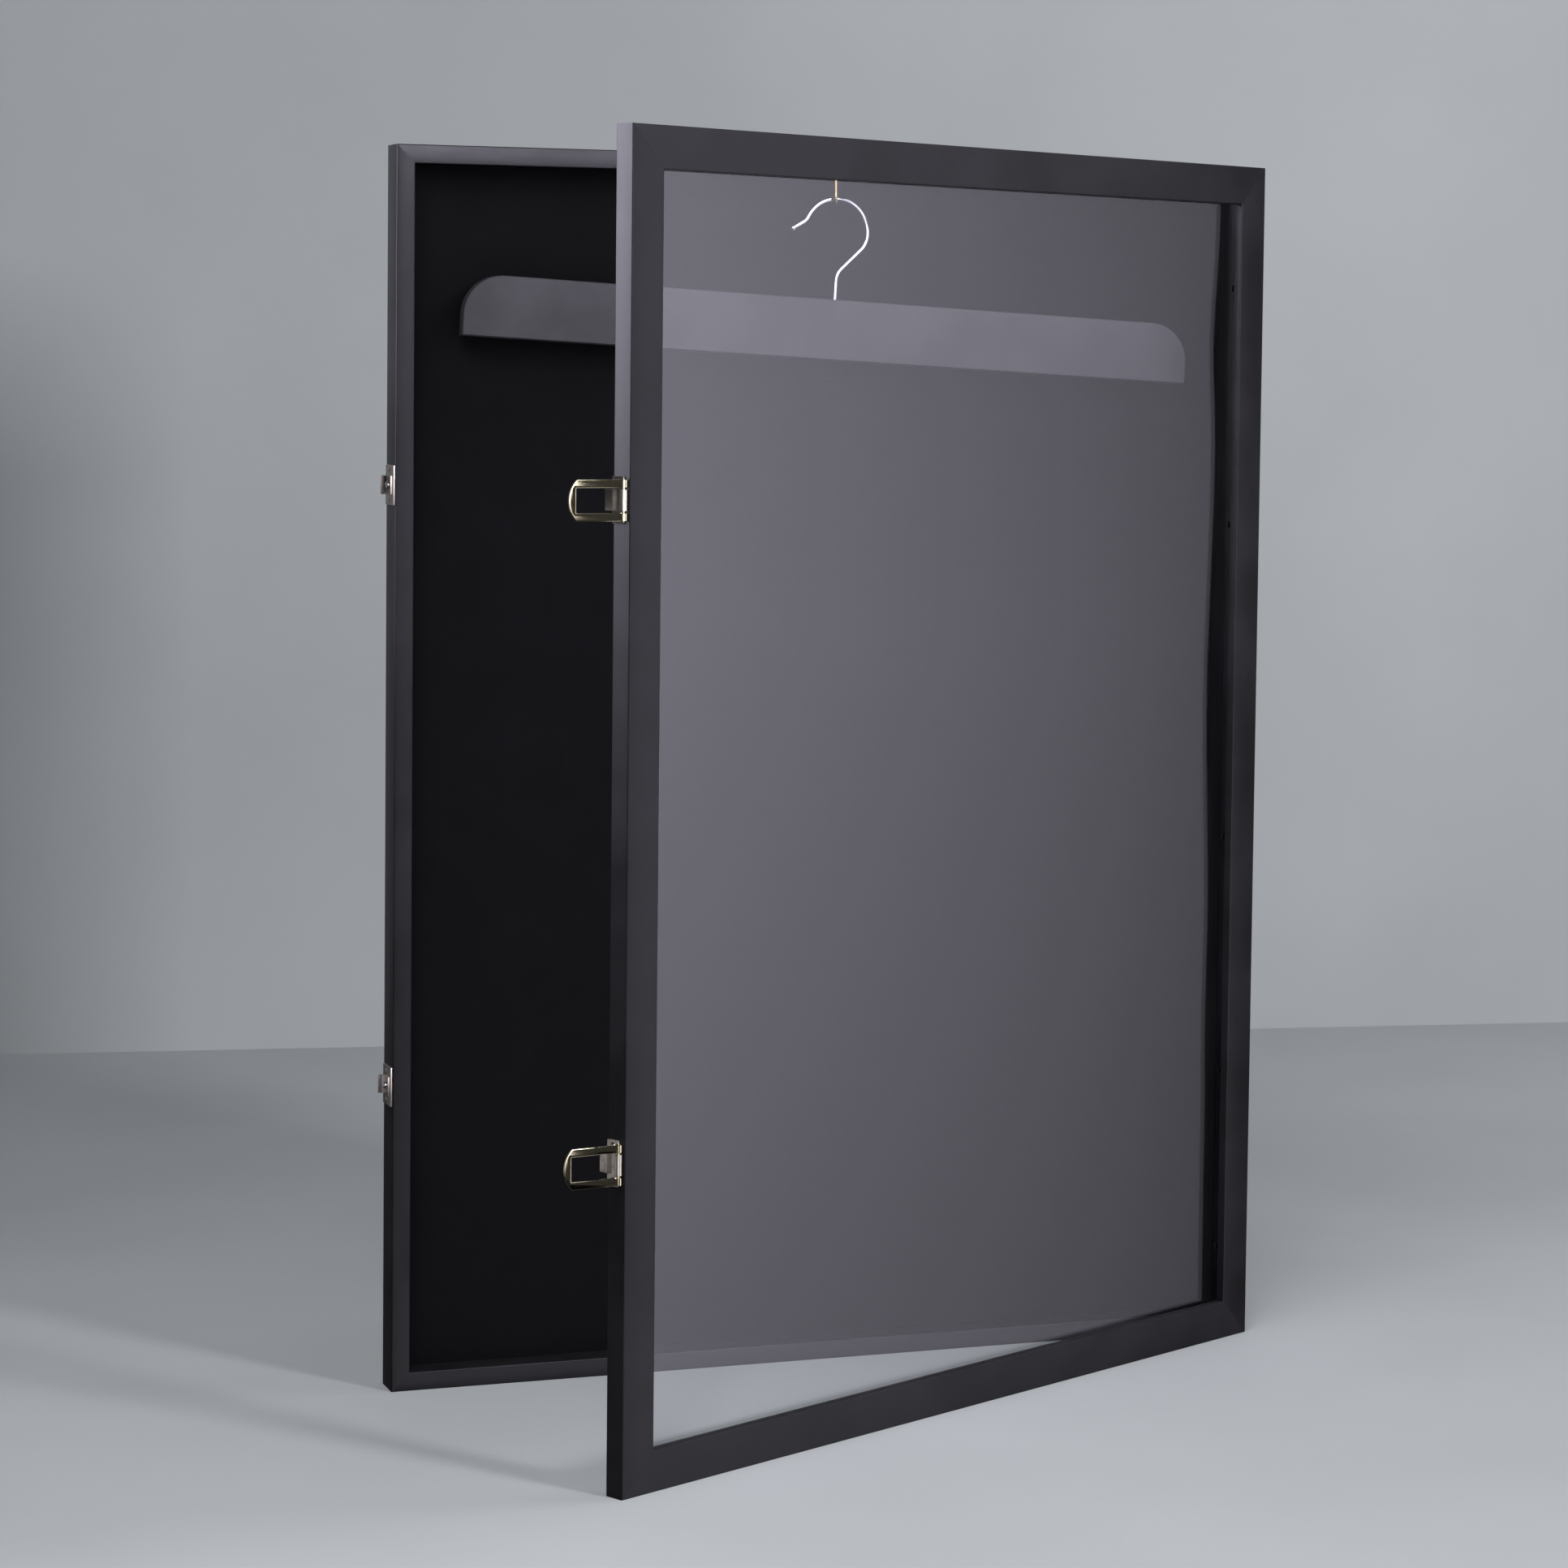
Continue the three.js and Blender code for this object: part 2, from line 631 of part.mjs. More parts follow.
// The hasp is a frame with a bowed outer end, which drops over the strike's catch.
function latchHasp(z) {
  const half = haspHeight / 2;
  const straight = haspLength - haspEndBow;
  const chord = 2 * half;
  const endRadius = (chord * chord) / (8 * haspEndBow) + haspEndBow / 2;
  const spread = Math.asin(half / endRadius);
  const outline = new THREE.Shape();
  outline.moveTo(latchPinY, z - half);
  outline.lineTo(latchPinY + straight, z - half);
  outline.absarc(latchPinY + haspLength - endRadius, z, endRadius, -spread, spread);
  outline.lineTo(latchPinY, z + half);
  const haspX = [latchPinX - haspSetBack, latchPinX - haspSetBack + haspThickness];
  const plate = extrudedInX(outline, haspX);
  const window = block(
    [haspX[0] - 5, haspX[1] + 5],
    [latchPinY - 5, latchPinY + haspWindowEnd],
    [z - haspWindowHeight / 2, z + haspWindowHeight / 2],
  );
  const knuckles = upAndDown.map((side) =>
    onLatchPin(latchKnuckleRadius, z + side * (haspWindowHeight / 2), z + side * half),
  );
  const bore = onLatchPin(latchBore, z - haspHeight, z + haspHeight);
  return cut(joined([plate, ...knuckles]), [window, bore]);
}

for (const [side, z] of latchSides) {
  add(door, `${side}_latch_base`, latchBase(z), "paleGold");
  const hasp = turnedAbout(door, latchPinX, latchPinY, haspOpening);
  add(hasp, `${side}_latch_hasp`, latchHasp(z), "paleGold");
  const pinHalf = haspHeight / 2 + latchPinProud;
  add(door, `${side}_latch_pin`, onLatchPin(latchPinRadius, z - pinHalf, z + pinHalf), "paleGold");
  latchScrewPlaces(z).forEach((at, i) => {
    add(door, `${side}_latch_screw_${i + 1}`, fastener(smallScrew, at, facingLeft), "paleGold");
  });
}

// ---- Hanger -------------------------------------------------------------------------------

// Its own frame has its origin where its hook rests in the bowl of the screw hook.
const hanger = new THREE.Group();
hanger.position.set(hookX, hookY, contactHeight);
hanger.rotation.y = THREE.MathUtils.degToRad(hangerTilt);
frame.add(hanger);

const barX = [barOffset - barLength / 2, barOffset + barLength / 2];
const cornerX = [barX[0] + barCornerRadius, barX[1] - barCornerRadius];
const cornerZ = barTop - barCornerRadius;
const bar = new THREE.Shape();
bar.moveTo(barX[0], barTop - barHeight);
bar.lineTo(barX[1], barTop - barHeight);
bar.absarc(cornerX[1], cornerZ, barCornerRadius, 0, Math.PI / 2);
bar.absarc(cornerX[0], cornerZ, barCornerRadius, Math.PI / 2, Math.PI);
const wood = extrudedInY(bar, [-barThickness / 2, barThickness / 2], 14);
const stemHoleEnds = [barTop + 5, barTop - stemHoleDepth].map((z) => [stemOffset, 0, z]);
const stemHole = rod(chromeWireRadius + gap, ...stemHoleEnds);
add(hanger, "hanger_bar", cut(wood, [stemHole]), "blackPaint");

// The wire starts in the bar, bends right, runs round over the top and flares out to a ball tip.
const slant = 44; // degrees of the straight stretch from the upright
const hookLine = bentLine([stemOffset, barTop - stemDepth], 90, [
  { length: stemDepth + 12.8 },
  arc(12.2, -slant),
  { length: 18.3 },
  arc(14.8, slant),
  arc(22, 156),
  arc(8.2, -33),
  { length: 6.8 },
]);
const hookTop = Math.max(...hookLine.map(([, z]) => z));
const rise = chromeWireRadius + gap - hookTop;
const hookPath = hookLine.map(([x, z]) => [x, 0, z + rise]);
const hookTip = ball(hookTipRadius, hookPath[hookPath.length - 1]);
const hookWire = wire(hookPath, chromeWireRadius, 60);
add(hanger, "hanger_hook", joined([hookWire, hookTip]), "chrome");

export default frame;
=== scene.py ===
"""Jersey display frame: a shallow black case with a hinged, glazed door, latches and a hanger inside."""
import json
import math

import bmesh
import bpy
from mathutils import Matrix, Vector, noise

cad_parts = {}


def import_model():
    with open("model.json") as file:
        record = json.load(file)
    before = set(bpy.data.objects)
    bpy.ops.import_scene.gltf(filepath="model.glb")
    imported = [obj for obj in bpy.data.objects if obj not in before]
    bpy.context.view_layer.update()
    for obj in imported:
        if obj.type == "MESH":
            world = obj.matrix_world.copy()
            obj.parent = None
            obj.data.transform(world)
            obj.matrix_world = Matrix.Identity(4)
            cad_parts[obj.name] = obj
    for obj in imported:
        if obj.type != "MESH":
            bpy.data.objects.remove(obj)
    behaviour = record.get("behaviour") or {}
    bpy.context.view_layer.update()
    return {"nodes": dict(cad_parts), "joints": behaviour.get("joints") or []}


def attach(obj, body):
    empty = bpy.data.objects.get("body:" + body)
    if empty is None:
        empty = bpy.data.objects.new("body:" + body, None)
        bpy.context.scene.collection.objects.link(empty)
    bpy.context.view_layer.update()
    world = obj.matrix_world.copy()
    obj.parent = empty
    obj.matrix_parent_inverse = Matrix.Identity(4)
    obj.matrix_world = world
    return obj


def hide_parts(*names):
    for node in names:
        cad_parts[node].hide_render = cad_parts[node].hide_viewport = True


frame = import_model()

MM = 0.001


def linked(name, data):
    """A new object in the scene."""
    made = bpy.data.objects.new(name, data)
    bpy.context.scene.collection.objects.link(made)
    return made


# ---- Places: each moving group's own frame, in which its pieces are closed and upright ----

joints = {j["name"]: j for j in frame["joints"]}


def turned_about(point, degrees, axis="Z"):
    shift = Matrix.Translation(point)
    return shift @ Matrix.Rotation(math.radians(degrees), 4, axis) @ shift.inverted()


def box_in(place, node):
    """A node's lowest and highest corners, measured in a group's own frame."""
    inverse = place.inverted()
    points = [inverse @ v.co for v in frame["nodes"][node].data.vertices]
    return tuple(Vector([pick(p[i] for p in points) for i in range(3)]) for pick in (min, max))


HANGER_TILT = math.radians(3.0)  # right end down
IN_CASE = Matrix.Identity(4)
IN_DOOR = turned_about(joints["door_hinge"]["pos_m"], -joints["door_hinge"]["range_deg"][0])
IN_HANGER = Matrix.Translation(joints["hanger_swing"]["pos_m"]) @ Matrix.Rotation(HANGER_TILT, 4, "Y")

BOWL_TURN = math.radians(-20.0)  # the screw hook opens to the left of the front
IN_SCREW_HOOK = Matrix.Rotation(BOWL_TURN, 4, "Z")


# A group is its place and the body that its pieces ride on.
CASE, DOOR, HANGER = (IN_CASE, "case"), (IN_DOOR, "door"), (IN_HANGER, "hanger")


def hasp_place(side):
    joint = joints[f"{side}_hasp_swing"]
    pin = IN_DOOR.inverted() @ Vector(joint["pos_m"])
    return IN_DOOR @ turned_about(pin, -joint["range_deg"][0]), pin


# ---- Camera ----

CAMERA_PLACE = Vector((-0.9066, -2.4778, 0.6594))
CAMERA_YAW, CAMERA_PITCH, CAMERA_ROLL = (math.radians(a) for a in (-19.48, -3.464, 0.599))
CAMERA_LENS, SENSOR = 91.38, 36.0
CAMERA_SHIFT = -0.11


def camera():
    """Looks along +Y when its yaw and pitch are 0; a positive yaw turns it to the left."""
    data = bpy.data.cameras.new("camera")
    data.lens, data.sensor_width, data.shift_y = CAMERA_LENS, SENSOR, CAMERA_SHIFT
    data.clip_end = 60
    made = linked("camera", data)
    turn = (
        Matrix.Rotation(CAMERA_YAW, 4, "Z")
        @ Matrix.Rotation(CAMERA_PITCH + math.pi / 2, 4, "X")
        @ Matrix.Rotation(CAMERA_ROLL, 4, "Z")
    )
    made.matrix_world = Matrix.Translation(CAMERA_PLACE) @ turn
    bpy.context.scene.camera = made


camera()

# ---- Materials ----
# Patterns are in millimetres of the point attribute "local": along the grain, across it and in depth.


class Shader:
    """A material's node tree, built by chaining calls that each return an output socket."""

    def __init__(self, name):
        self.material = bpy.data.materials.new(name)
        self.material.use_nodes = True
        self.tree = self.material.node_tree
        self.tree.nodes.clear()
        self.output = self.tree.nodes.new("ShaderNodeOutputMaterial")

    def node(self, kind, inputs=None, **settings):
        made = self.tree.nodes.new("ShaderNode" + kind)
        for key, value in settings.items():
            setattr(made, key, value)
        for key, value in (inputs or {}).items():
            if isinstance(value, bpy.types.NodeSocket):
                self.tree.links.new(value, made.inputs[key])
            else:
                made.inputs[key].default_value = value
        return made

    def local(self, scale=(1, 1, 1)):
        attribute = self.node("Attribute", attribute_name="local").outputs["Vector"]
        return self.node("Mapping", {"Vector": attribute, "Scale": scale}).outputs["Vector"]

    def noise(self, scale, detail=3.0, rough=0.5, stretch=(1, 1, 1), distortion=0.0):
        inputs = {"Vector": self.local(stretch), "Scale": scale, "Detail": detail}
        inputs |= {"Roughness": rough, "Distortion": distortion}
        return self.node("TexNoise", inputs).outputs["Fac"]

    def cells(self, scale, stretch=(1, 1, 1)):
        inputs = {"Vector": self.local(stretch), "Scale": scale}
        return self.node("TexVoronoi", inputs).outputs["Distance"]

    def spread(self, value, low, high, out_low=0.0, out_high=1.0):
        inputs = {"Value": value, "From Min": low, "From Max": high}
        inputs |= {"To Min": out_low, "To Max": out_high}
        return self.node("MapRange", inputs).outputs["Result"]

    def blend(self, factor, first, second):
        return self.node("Mix", {0: factor, 6: first, 7: second}, data_type="RGBA").outputs[2]

    def maths(self, operation, *values):
        return self.node("Math", dict(enumerate(values)), operation=operation).outputs[0]

    def bump(self, *layers):
        """Bumps on one another; each layer is a height and how tall it is in millimetres."""
        normal = None
        for height, tall in layers:
            inputs = {"Height": height, "Distance": tall * MM, "Strength": 1.0}
            if normal:
                inputs["Normal"] = normal
            normal = self.node("Bump", inputs).outputs["Normal"]
        return normal

    def surface(self, shader):
        self.tree.links.new(shader, self.output.inputs["Surface"])
        return self.material

    def principled(self, **inputs):
        named = {key.replace("_", " "): value for key, value in inputs.items()}
        return self.surface(self.node("BsdfPrincipled", named).outputs["BSDF"])


def painted_wood(name, colour, roughness, gloss, grain=0.02):
    """Black paint over close-grained wood: the grain shows faintly through a slightly uneven film."""
    s = Shader(name)
    fibres = s.noise(1.6, 5, 0.6, (0.03, 1, 1), 0.3)
    pores = s.spread(s.noise(3.2, 2, 0.5, (0.05, 1, 1)), 0.62, 0.72)
    film = s.noise(0.9, 2)
    clouds = s.noise(0.02, 3)
    lighter = tuple(c * 1.45 for c in colour) + (1,)
    darker = tuple(c * 0.8 for c in colour) + (1,)
    tone = s.blend(s.spread(clouds, 0.35, 0.65), darker, lighter)
    tone = s.blend(s.spread(fibres, 0.3, 0.75, 0.0, 0.35), tone, darker)
    uneven = s.spread(clouds, 0.3, 0.7, -0.03, 0.04)
    rough = s.maths("ADD", uneven, s.spread(fibres, 0.3, 0.7, -0.03, 0.03))
    return s.principled(
        Base_Color=tone,
        Roughness=s.maths("ADD", rough, roughness),
        Specular_IOR_Level=gloss,
        Normal=s.bump((fibres, grain), (pores, -grain * 0.6), (film, grain * 0.5)),
    )


def plated(name, colour, roughness, brushing=0.05, mottle=0.0):
    """Plated metal with fine polishing lines, faint smears and small pits."""
    s = Shader(name)
    lines = s.noise(9, 2, 0.6, (0.08, 1, 1))
    smears = s.noise(0.25, 4)
    pits = s.spread(s.cells(1.1), 0.0, 0.09, 1, 0)
    dull = tuple(c * (0.78 - mottle) for c in colour) + (1,)
    tone = s.blend(s.spread(smears, 0.35, 0.75), colour + (1,), dull)
    rough = s.maths("ADD", roughness, s.spread(smears, 0.35, 0.75, 0.0, roughness * 0.4))
    rough = s.maths("ADD", rough, s.spread(lines, 0.3, 0.7, 0, brushing))
    return s.principled(
        Base_Color=tone,
        Metallic=1.0,
        Roughness=rough,
        Normal=s.bump((lines, 0.002 + brushing * 0.02), (pits, -0.004)),
    )


def felt_cloth():
    """Black needled felt: matted fibres, a faint nap that catches light at a slant, and a little lint."""
    s = Shader("black_felt")
    fibres = s.noise(3.5, 6, 0.7, (1, 1, 1), 1.2)
    mat_height = s.noise(0.8, 5, 0.65)
    patches = s.noise(0.03, 4)
    lint = s.spread(s.noise(1.7, 2, 0.5, (0.25, 1, 1), 2.5), 0.77, 0.82)
    dark, light = (0.0042, 0.0041, 0.0050, 1), (0.0105, 0.0102, 0.0125, 1)
    tone = s.blend(s.spread(fibres, 0.3, 0.7), dark, light)
    tone = s.blend(s.spread(patches, 0.3, 0.7, 0, 0.35), tone, light)
    tone = s.blend(s.maths("MULTIPLY", lint, 0.12), tone, (0.12, 0.12, 0.13, 1))
    return s.principled(
        Base_Color=tone,
        Roughness=0.95,
        Specular_IOR_Level=0.08,
        Sheen_Weight=0.05,
        Sheen_Roughness=0.5,
        Sheen_Tint=(0.5, 0.5, 0.55, 1),
        Normal=s.bump((mat_height, 0.12), (fibres, 0.09)),
    )


def clear_acrylic():
    """A thin clear sheet: each face reflects by its angle and lets the rest through, with faint haze."""
    s = Shader("clear_acrylic")
    index = 1.49
    behind = s.node("NewGeometry").outputs["Backfacing"]
    bend = s.spread(behind, 0, 1, index, 1 / index)  # so that rays inside the sheet aren't trapped
    share = s.node("Fresnel", {"IOR": bend}).outputs["Fac"]
    smears = s.noise(0.015, 4, 0.6, (1, 1, 1), 0.6)
    hair = s.spread(s.noise(0.5, 3, 0.6, (0.06, 1, 1)), 0.66, 0.72)
    rough = s.maths("ADD", s.spread(smears, 0.3, 0.7, 0.01, 0.03), s.maths("MULTIPLY", hair, 0.03))
    through = s.node("BsdfTransparent", {"Color": (0.965, 0.972, 0.975, 1)}).outputs["BSDF"]
    gloss = s.node("BsdfGlossy", {"Color": (1, 1, 1, 1), "Roughness": rough}).outputs["BSDF"]
    sheet = s.node("MixShader", {0: share, 1: through, 2: gloss}).outputs[0]
    return s.surface(sheet)


def hardboard_back():
    """Brown hardboard: a pressed mesh on its rough face, with darker flecks."""
    s = Shader("hardboard")
    threads = {"Vector": s.local(), "Scale": 0.32}
    warp, weft = (s.node("TexWave", threads, bands_direction=way).outputs["Fac"] for way in "XY")
    mesh = s.maths("MULTIPLY", warp, weft)
    fibres = s.noise(1.2, 6, 0.7, (1, 1, 1), 1.5)
    clouds = s.noise(0.02, 4)
    tone = s.blend(s.spread(fibres, 0.3, 0.7), (0.075, 0.043, 0.024, 1), (0.17, 0.105, 0.062, 1))
    tone = s.blend(s.spread(clouds, 0.3, 0.7, 0, 0.4), tone, (0.11, 0.07, 0.045, 1))
    tone = s.blend(s.spread(mesh, 0.0, 0.8, 0, 0.35), tone, (0.05, 0.03, 0.018, 1))
    return s.principled(
        Base_Color=tone,
        Roughness=s.spread(fibres, 0.3, 0.7, 0.72, 0.9),
        Specular_IOR_Level=0.3,
        Normal=s.bump((mesh, 0.25), (fibres, 0.1)),
    )


# A look is its slot's name and its material.
black_paint = ("black_paint", painted_wood("satin_black_paint", (0.0130, 0.0124, 0.0144), 0.36, 0.22))
matt_black = painted_wood("matt_hanger_paint", (0.055, 0.053, 0.061), 0.55, 0.30, 0.03)
hanger_paint = ("hanger_paint", matt_black)
pale_gold = ("pale_gold", plated("pale_gold_plate", (0.84, 0.76, 0.48), 0.07, 0.02))
satin_gold = ("pale_gold", plated("satin_gold_plate", (0.80, 0.75, 0.60), 0.26, 0.08, 0.12))
nickel = ("nickel", plated("champagne_nickel", (0.74, 0.68, 0.58), 0.24, 0.08, 0.1))
bright_zinc = ("nickel", plated("bright_zinc_screw", (0.86, 0.86, 0.85), 0.16, 0.05))
zinc = ("steel", plated("zinc_plate", (0.50, 0.50, 0.52), 0.36, 0.12, 0.12))
brass = ("brass", plated("brass_plate", (0.60, 0.44, 0.20), 0.26, 0.08, 0.1))
chrome = ("chrome", plated("polished_chrome", (0.88, 0.88, 0.90), 0.05, 0.02))

# ---- Mesh tools ----

# A plate is drawn flat in XY and then stood up: its drawing's two axes become X and Z, or Y and Z.
IN_XZ = Matrix.Rotation(math.pi / 2, 4, "X")
IN_YZ = Matrix(((0, 0, 1, 0), (1, 0, 0, 0), (0, 1, 0, 0), (0, 0, 0, 1)))
ALONG = {"x": (0, 1, 2), "y": (1, 0, 2), "z": (2, 0, 1)}  # the grain's axis first
SMOOTH_UP_TO = math.radians(32)

# Some lights and cards reach only the painted pieces, the plated ones, all pieces, or the floor and wall.
RECEIVERS = ("painted", "plated", "pieces", "stage")
painted_only, plated_only, pieces_only, stage_only = map(bpy.data.collections.new, RECEIVERS)
REACHED = dict.fromkeys(("pale_gold", "nickel", "brass", "chrome"), plated_only)
REACHED["black_paint"] = painted_only


def mesh_from(bm):
    bmesh.ops.recalc_face_normals(bm, faces=bm.faces)
    mesh = bpy.data.meshes.new("made")
    bm.to_mesh(mesh)
    bm.free()
    return mesh


def piece(name, mesh, group, look, stands_for=(), grain="z"):
    """One object of the model. Its mesh and the axis of its grain are in the group's own frame."""
    (place, body), (slot, material) = group, look
    local = mesh.attributes.new("local", "FLOAT_VECTOR", "POINT")
    shift = (sum(map(ord, name)) % 89) * 37  # millimetres, so that no two pieces share a pattern
    for i, v in enumerate(mesh.vertices):
        local.data[i].vector = [v.co[axis] / MM + shift for axis in ALONG[grain]]
    mesh.transform(place)
    mesh.polygons.foreach_set("use_smooth", [True] * len(mesh.polygons))
    mesh.set_sharp_from_angle(angle=SMOOTH_UP_TO)
    mesh.name = name
    made = linked(name, mesh)
    mesh.materials.append(material)
    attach(made, body)
    pieces_only.objects.link(made)
    if slot in REACHED:
        REACHED[slot].objects.link(made)
    if stands_for:
        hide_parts(*stands_for)
    return made


def joined(*meshes):
    bm = bmesh.new()
    for mesh in meshes:
        bm.from_mesh(mesh)
    made = bpy.data.meshes.new("joined")
    bm.to_mesh(made)
    bm.free()
    return made


def moved(mesh, matrix):
    mesh.transform(matrix)
    return mesh


def at(x, y, z):
    return Matrix.Translation((x, y, z))


def facing_front(flat, y):
    return moved(flat, at(0, y, 0) @ IN_XZ)


def facing_side(flat, x):
    return moved(flat, at(x, 0, 0) @ IN_YZ)


def combined(mesh, others, operation):
    """Cuts the others from a mesh, or welds them to it."""
    base, tools = linked("base", mesh), [linked("tool", other) for other in others]
    for tool in tools:
        modifier = base.modifiers.new("boolean", "BOOLEAN")
        modifier.operation, modifier.solver, modifier.object = operation, "EXACT", tool
    depsgraph = bpy.context.evaluated_depsgraph_get()
    made = bpy.data.meshes.new_from_object(base.evaluated_get(depsgraph), depsgraph=depsgraph)
    for extra in (base, *tools):
        bpy.data.objects.remove(extra)
    return made


def carved(mesh, cutters):
    return combined(mesh, cutters, "DIFFERENCE")


def welded(mesh, others):
    return combined(mesh, others, "UNION")


def block(low, high):
    bm = bmesh.new()
    bmesh.ops.create_cube(bm, size=1)
    size = Vector(high) - Vector(low)
    place = Matrix.Translation((Vector(high) + Vector(low)) / 2) @ Matrix.Diagonal((*size, 1))
    bmesh.ops.transform(bm, matrix=place, verts=bm.verts)
    return mesh_from(bm)


def filleted(corners, steps=4):
    """An outline with rounded corners, each given as its two coordinates and its radius."""
    points = []
    for i, (a, b, radius) in enumerate(corners):
        here = Vector((a, b))
        if not radius:
            points.append(here)
            continue
        before = (Vector(corners[i - 1][:2]) - here).normalized()
        after = (Vector(corners[(i + 1) % len(corners)][:2]) - here).normalized()
        half = before.angle(after) / 2
        centre = here + (before + after).normalized() * radius / math.sin(half)
        spoke = here + before * radius / math.tan(half) - centre
        sweep = (math.pi - 2 * half) * -math.copysign(1, before.cross(after))
        for k in range(steps + 1):
            points.append(centre + Matrix.Rotation(sweep * k / steps, 2) @ spoke)
    return points


def rounded_box(low, high, radius, steps=3):
    """The outline of a rectangle with round corners."""
    (a0, b0), (a1, b1) = low, high
    return filleted([(a0, b0, radius), (a1, b0, radius), (a1, b1, radius), (a0, b1, radius)], steps)


def plate(outlines, thickness, bevel, steps=2):
    """A flat plate with rounded edges, centred on its own plane; inner outlines are holes."""
    curve = bpy.data.curves.new("plate", "CURVE")
    curve.dimensions, curve.fill_mode = "2D", "BOTH"
    curve.extrude = thickness / 2 - bevel
    curve.bevel_depth, curve.bevel_resolution, curve.offset = bevel, steps, -bevel
    for outline in outlines:
        spline = curve.splines.new("POLY")
        spline.points.add(len(outline) - 1)
        for point, (a, b) in zip(spline.points, outline):
            point.co = (a, b, 0, 1)
        spline.use_cyclic_u = True
    holder = linked("plate", curve)
    depsgraph = bpy.context.evaluated_depsgraph_get()
    flat = bpy.data.meshes.new_from_object(holder.evaluated_get(depsgraph), depsgraph=depsgraph)
    bpy.data.objects.remove(holder)
    bm = bmesh.new()
    bm.from_mesh(flat)
    bmesh.ops.remove_doubles(bm, verts=bm.verts, dist=0.002 * MM)
    bmesh.ops.dissolve_degenerate(bm, edges=bm.edges, dist=0.001 * MM)
    flat.materials.clear()
    return mesh_from(bm)


def circle(radius, centre=(0, 0), sides=32):
    turns = [2 * math.pi * i / sides for i in range(sides)]
    return [(centre[0] + radius * math.cos(t), centre[1] + radius * math.sin(t)) for t in turns]


def lathe(profile, sides=28):
    """A turned solid about Z. Its profile gives radius and height, from end to end of the axis."""
    bm = bmesh.new()
    rings = []
    for radius, height in profile:
        if radius == 0:
            rings.append([bm.verts.new((0, 0, height))])
        else:
            rings.append([bm.verts.new((a, b, height)) for a, b in circle(radius, sides=sides)])
    for low, high in zip(rings, rings[1:]):
        for i in range(sides):
            j = (i + 1) % sides
            corners = [low[i % len(low)], low[j % len(low)], high[j % len(high)], high[i % len(high)]]
            bm.faces.new(dict.fromkeys(corners))
    return mesh_from(bm)


def rod(radius, length, chamfer=0.0, sides=28):
    """An upright round bar from 0 to its length, with its ends' edges eased."""
    if not chamfer:
        return lathe([(0, 0), (radius, 0), (radius, length), (0, length)], sides)
    inner = radius - chamfer
    profile = [(0, 0), (inner, 0), (radius, chamfer)]
    profile += [(radius, length - chamfer), (inner, length), (0, length)]
    return lathe(profile, sides)


def post(foot, radius, length, chamfer=0.0, sides=28):
    """The same bar, standing on a point."""
    return moved(rod(radius, length, chamfer, sides), at(*foot))


def dome(radius, low, high, steps):
    """A dome's profile, from above its rim to its top on the axis."""
    turns = [math.pi / 2 * k / steps for k in range(1, steps)]
    return [*((radius * math.cos(t), low + (high - low) * math.sin(t)) for t in turns), (0, high)]


def tube(points, radii, sides=20):
    """A closed round tube along points in one plane, with its own radius at each."""
    points = [Vector(p) for p in points]
    count = len(points)
    across = next(
        (points[1] - points[0]).cross(p - points[0])
        for p in points[2:]
        if (points[1] - points[0]).cross(p - points[0]).length > 1e-9
    ).normalized()
    bm = bmesh.new()
    rings = []
    for i, (p, radius) in enumerate(zip(points, radii)):
        along = (points[min(i + 1, count - 1)] - points[max(i - 1, 0)]).normalized()
        beside = across.cross(along)
        rings.append([bm.verts.new(p + across * a + beside * b) for a, b in circle(radius, sides=sides)])
    for low, high in zip(rings, rings[1:]):
        for i in range(sides):
            j = (i + 1) % sides
            bm.faces.new((low[i], low[j], high[j], high[i]))
    bm.faces.new(rings[0])
    bm.faces.new(rings[-1])
    return mesh_from(bm)


def bent_line(start, heading, stretches, step=6.0):
    """Points along a bent wire in a plane. A stretch is a length and the angle it turns to the left."""
    a, b = start
    direction = math.radians(heading)
    points = [(a, b)]
    for length, turn in stretches:
        count = max(2, round(abs(turn) / step), round(length / (3 * MM)))
        for _ in range(count):
            direction += math.radians(turn) / count / 2
            a += length / count * math.cos(direction)
            b += length / count * math.sin(direction)
            direction += math.radians(turn) / count / 2
            points.append((a, b))
    return points


def arc(radius, turn):
    return radius * math.radians(abs(turn)), turn


def ribbon(line, thickness):
    """The outline of a bent strip of even thickness."""
    points = [Vector(p) for p in line]
    sides = {1: [], -1: []}
    for i, p in enumerate(points):
        along = (points[min(i + 1, len(points) - 1)] - points[max(i - 1, 0)]).normalized()
        for side, found in sides.items():
            found.append(p + Vector((-along.y, along.x)) * side * thickness / 2)
    return sides[1] + sides[-1][::-1]


def smooth_line(points, count):
    """A Catmull-Rom curve through points in a plane."""
    ends = [Vector(p) for p in points]
    ends = [ends[0] * 2 - ends[1], *ends, ends[-1] * 2 - ends[-2]]
    found = []
    for i in range(1, len(ends) - 2):
        p, q, r, s = ends[i - 1 : i + 3]
        for k in range(count):
            t = k / count
            bend = (q * 2 + (r - p) * t + (p * 2 - q * 5 + r * 4 - s) * t * t)
            found.append((bend + (q * 3 - p - r * 3 + s) * t**3) / 2)
    return [*found, ends[-2]]


# ---- Fasteners ----


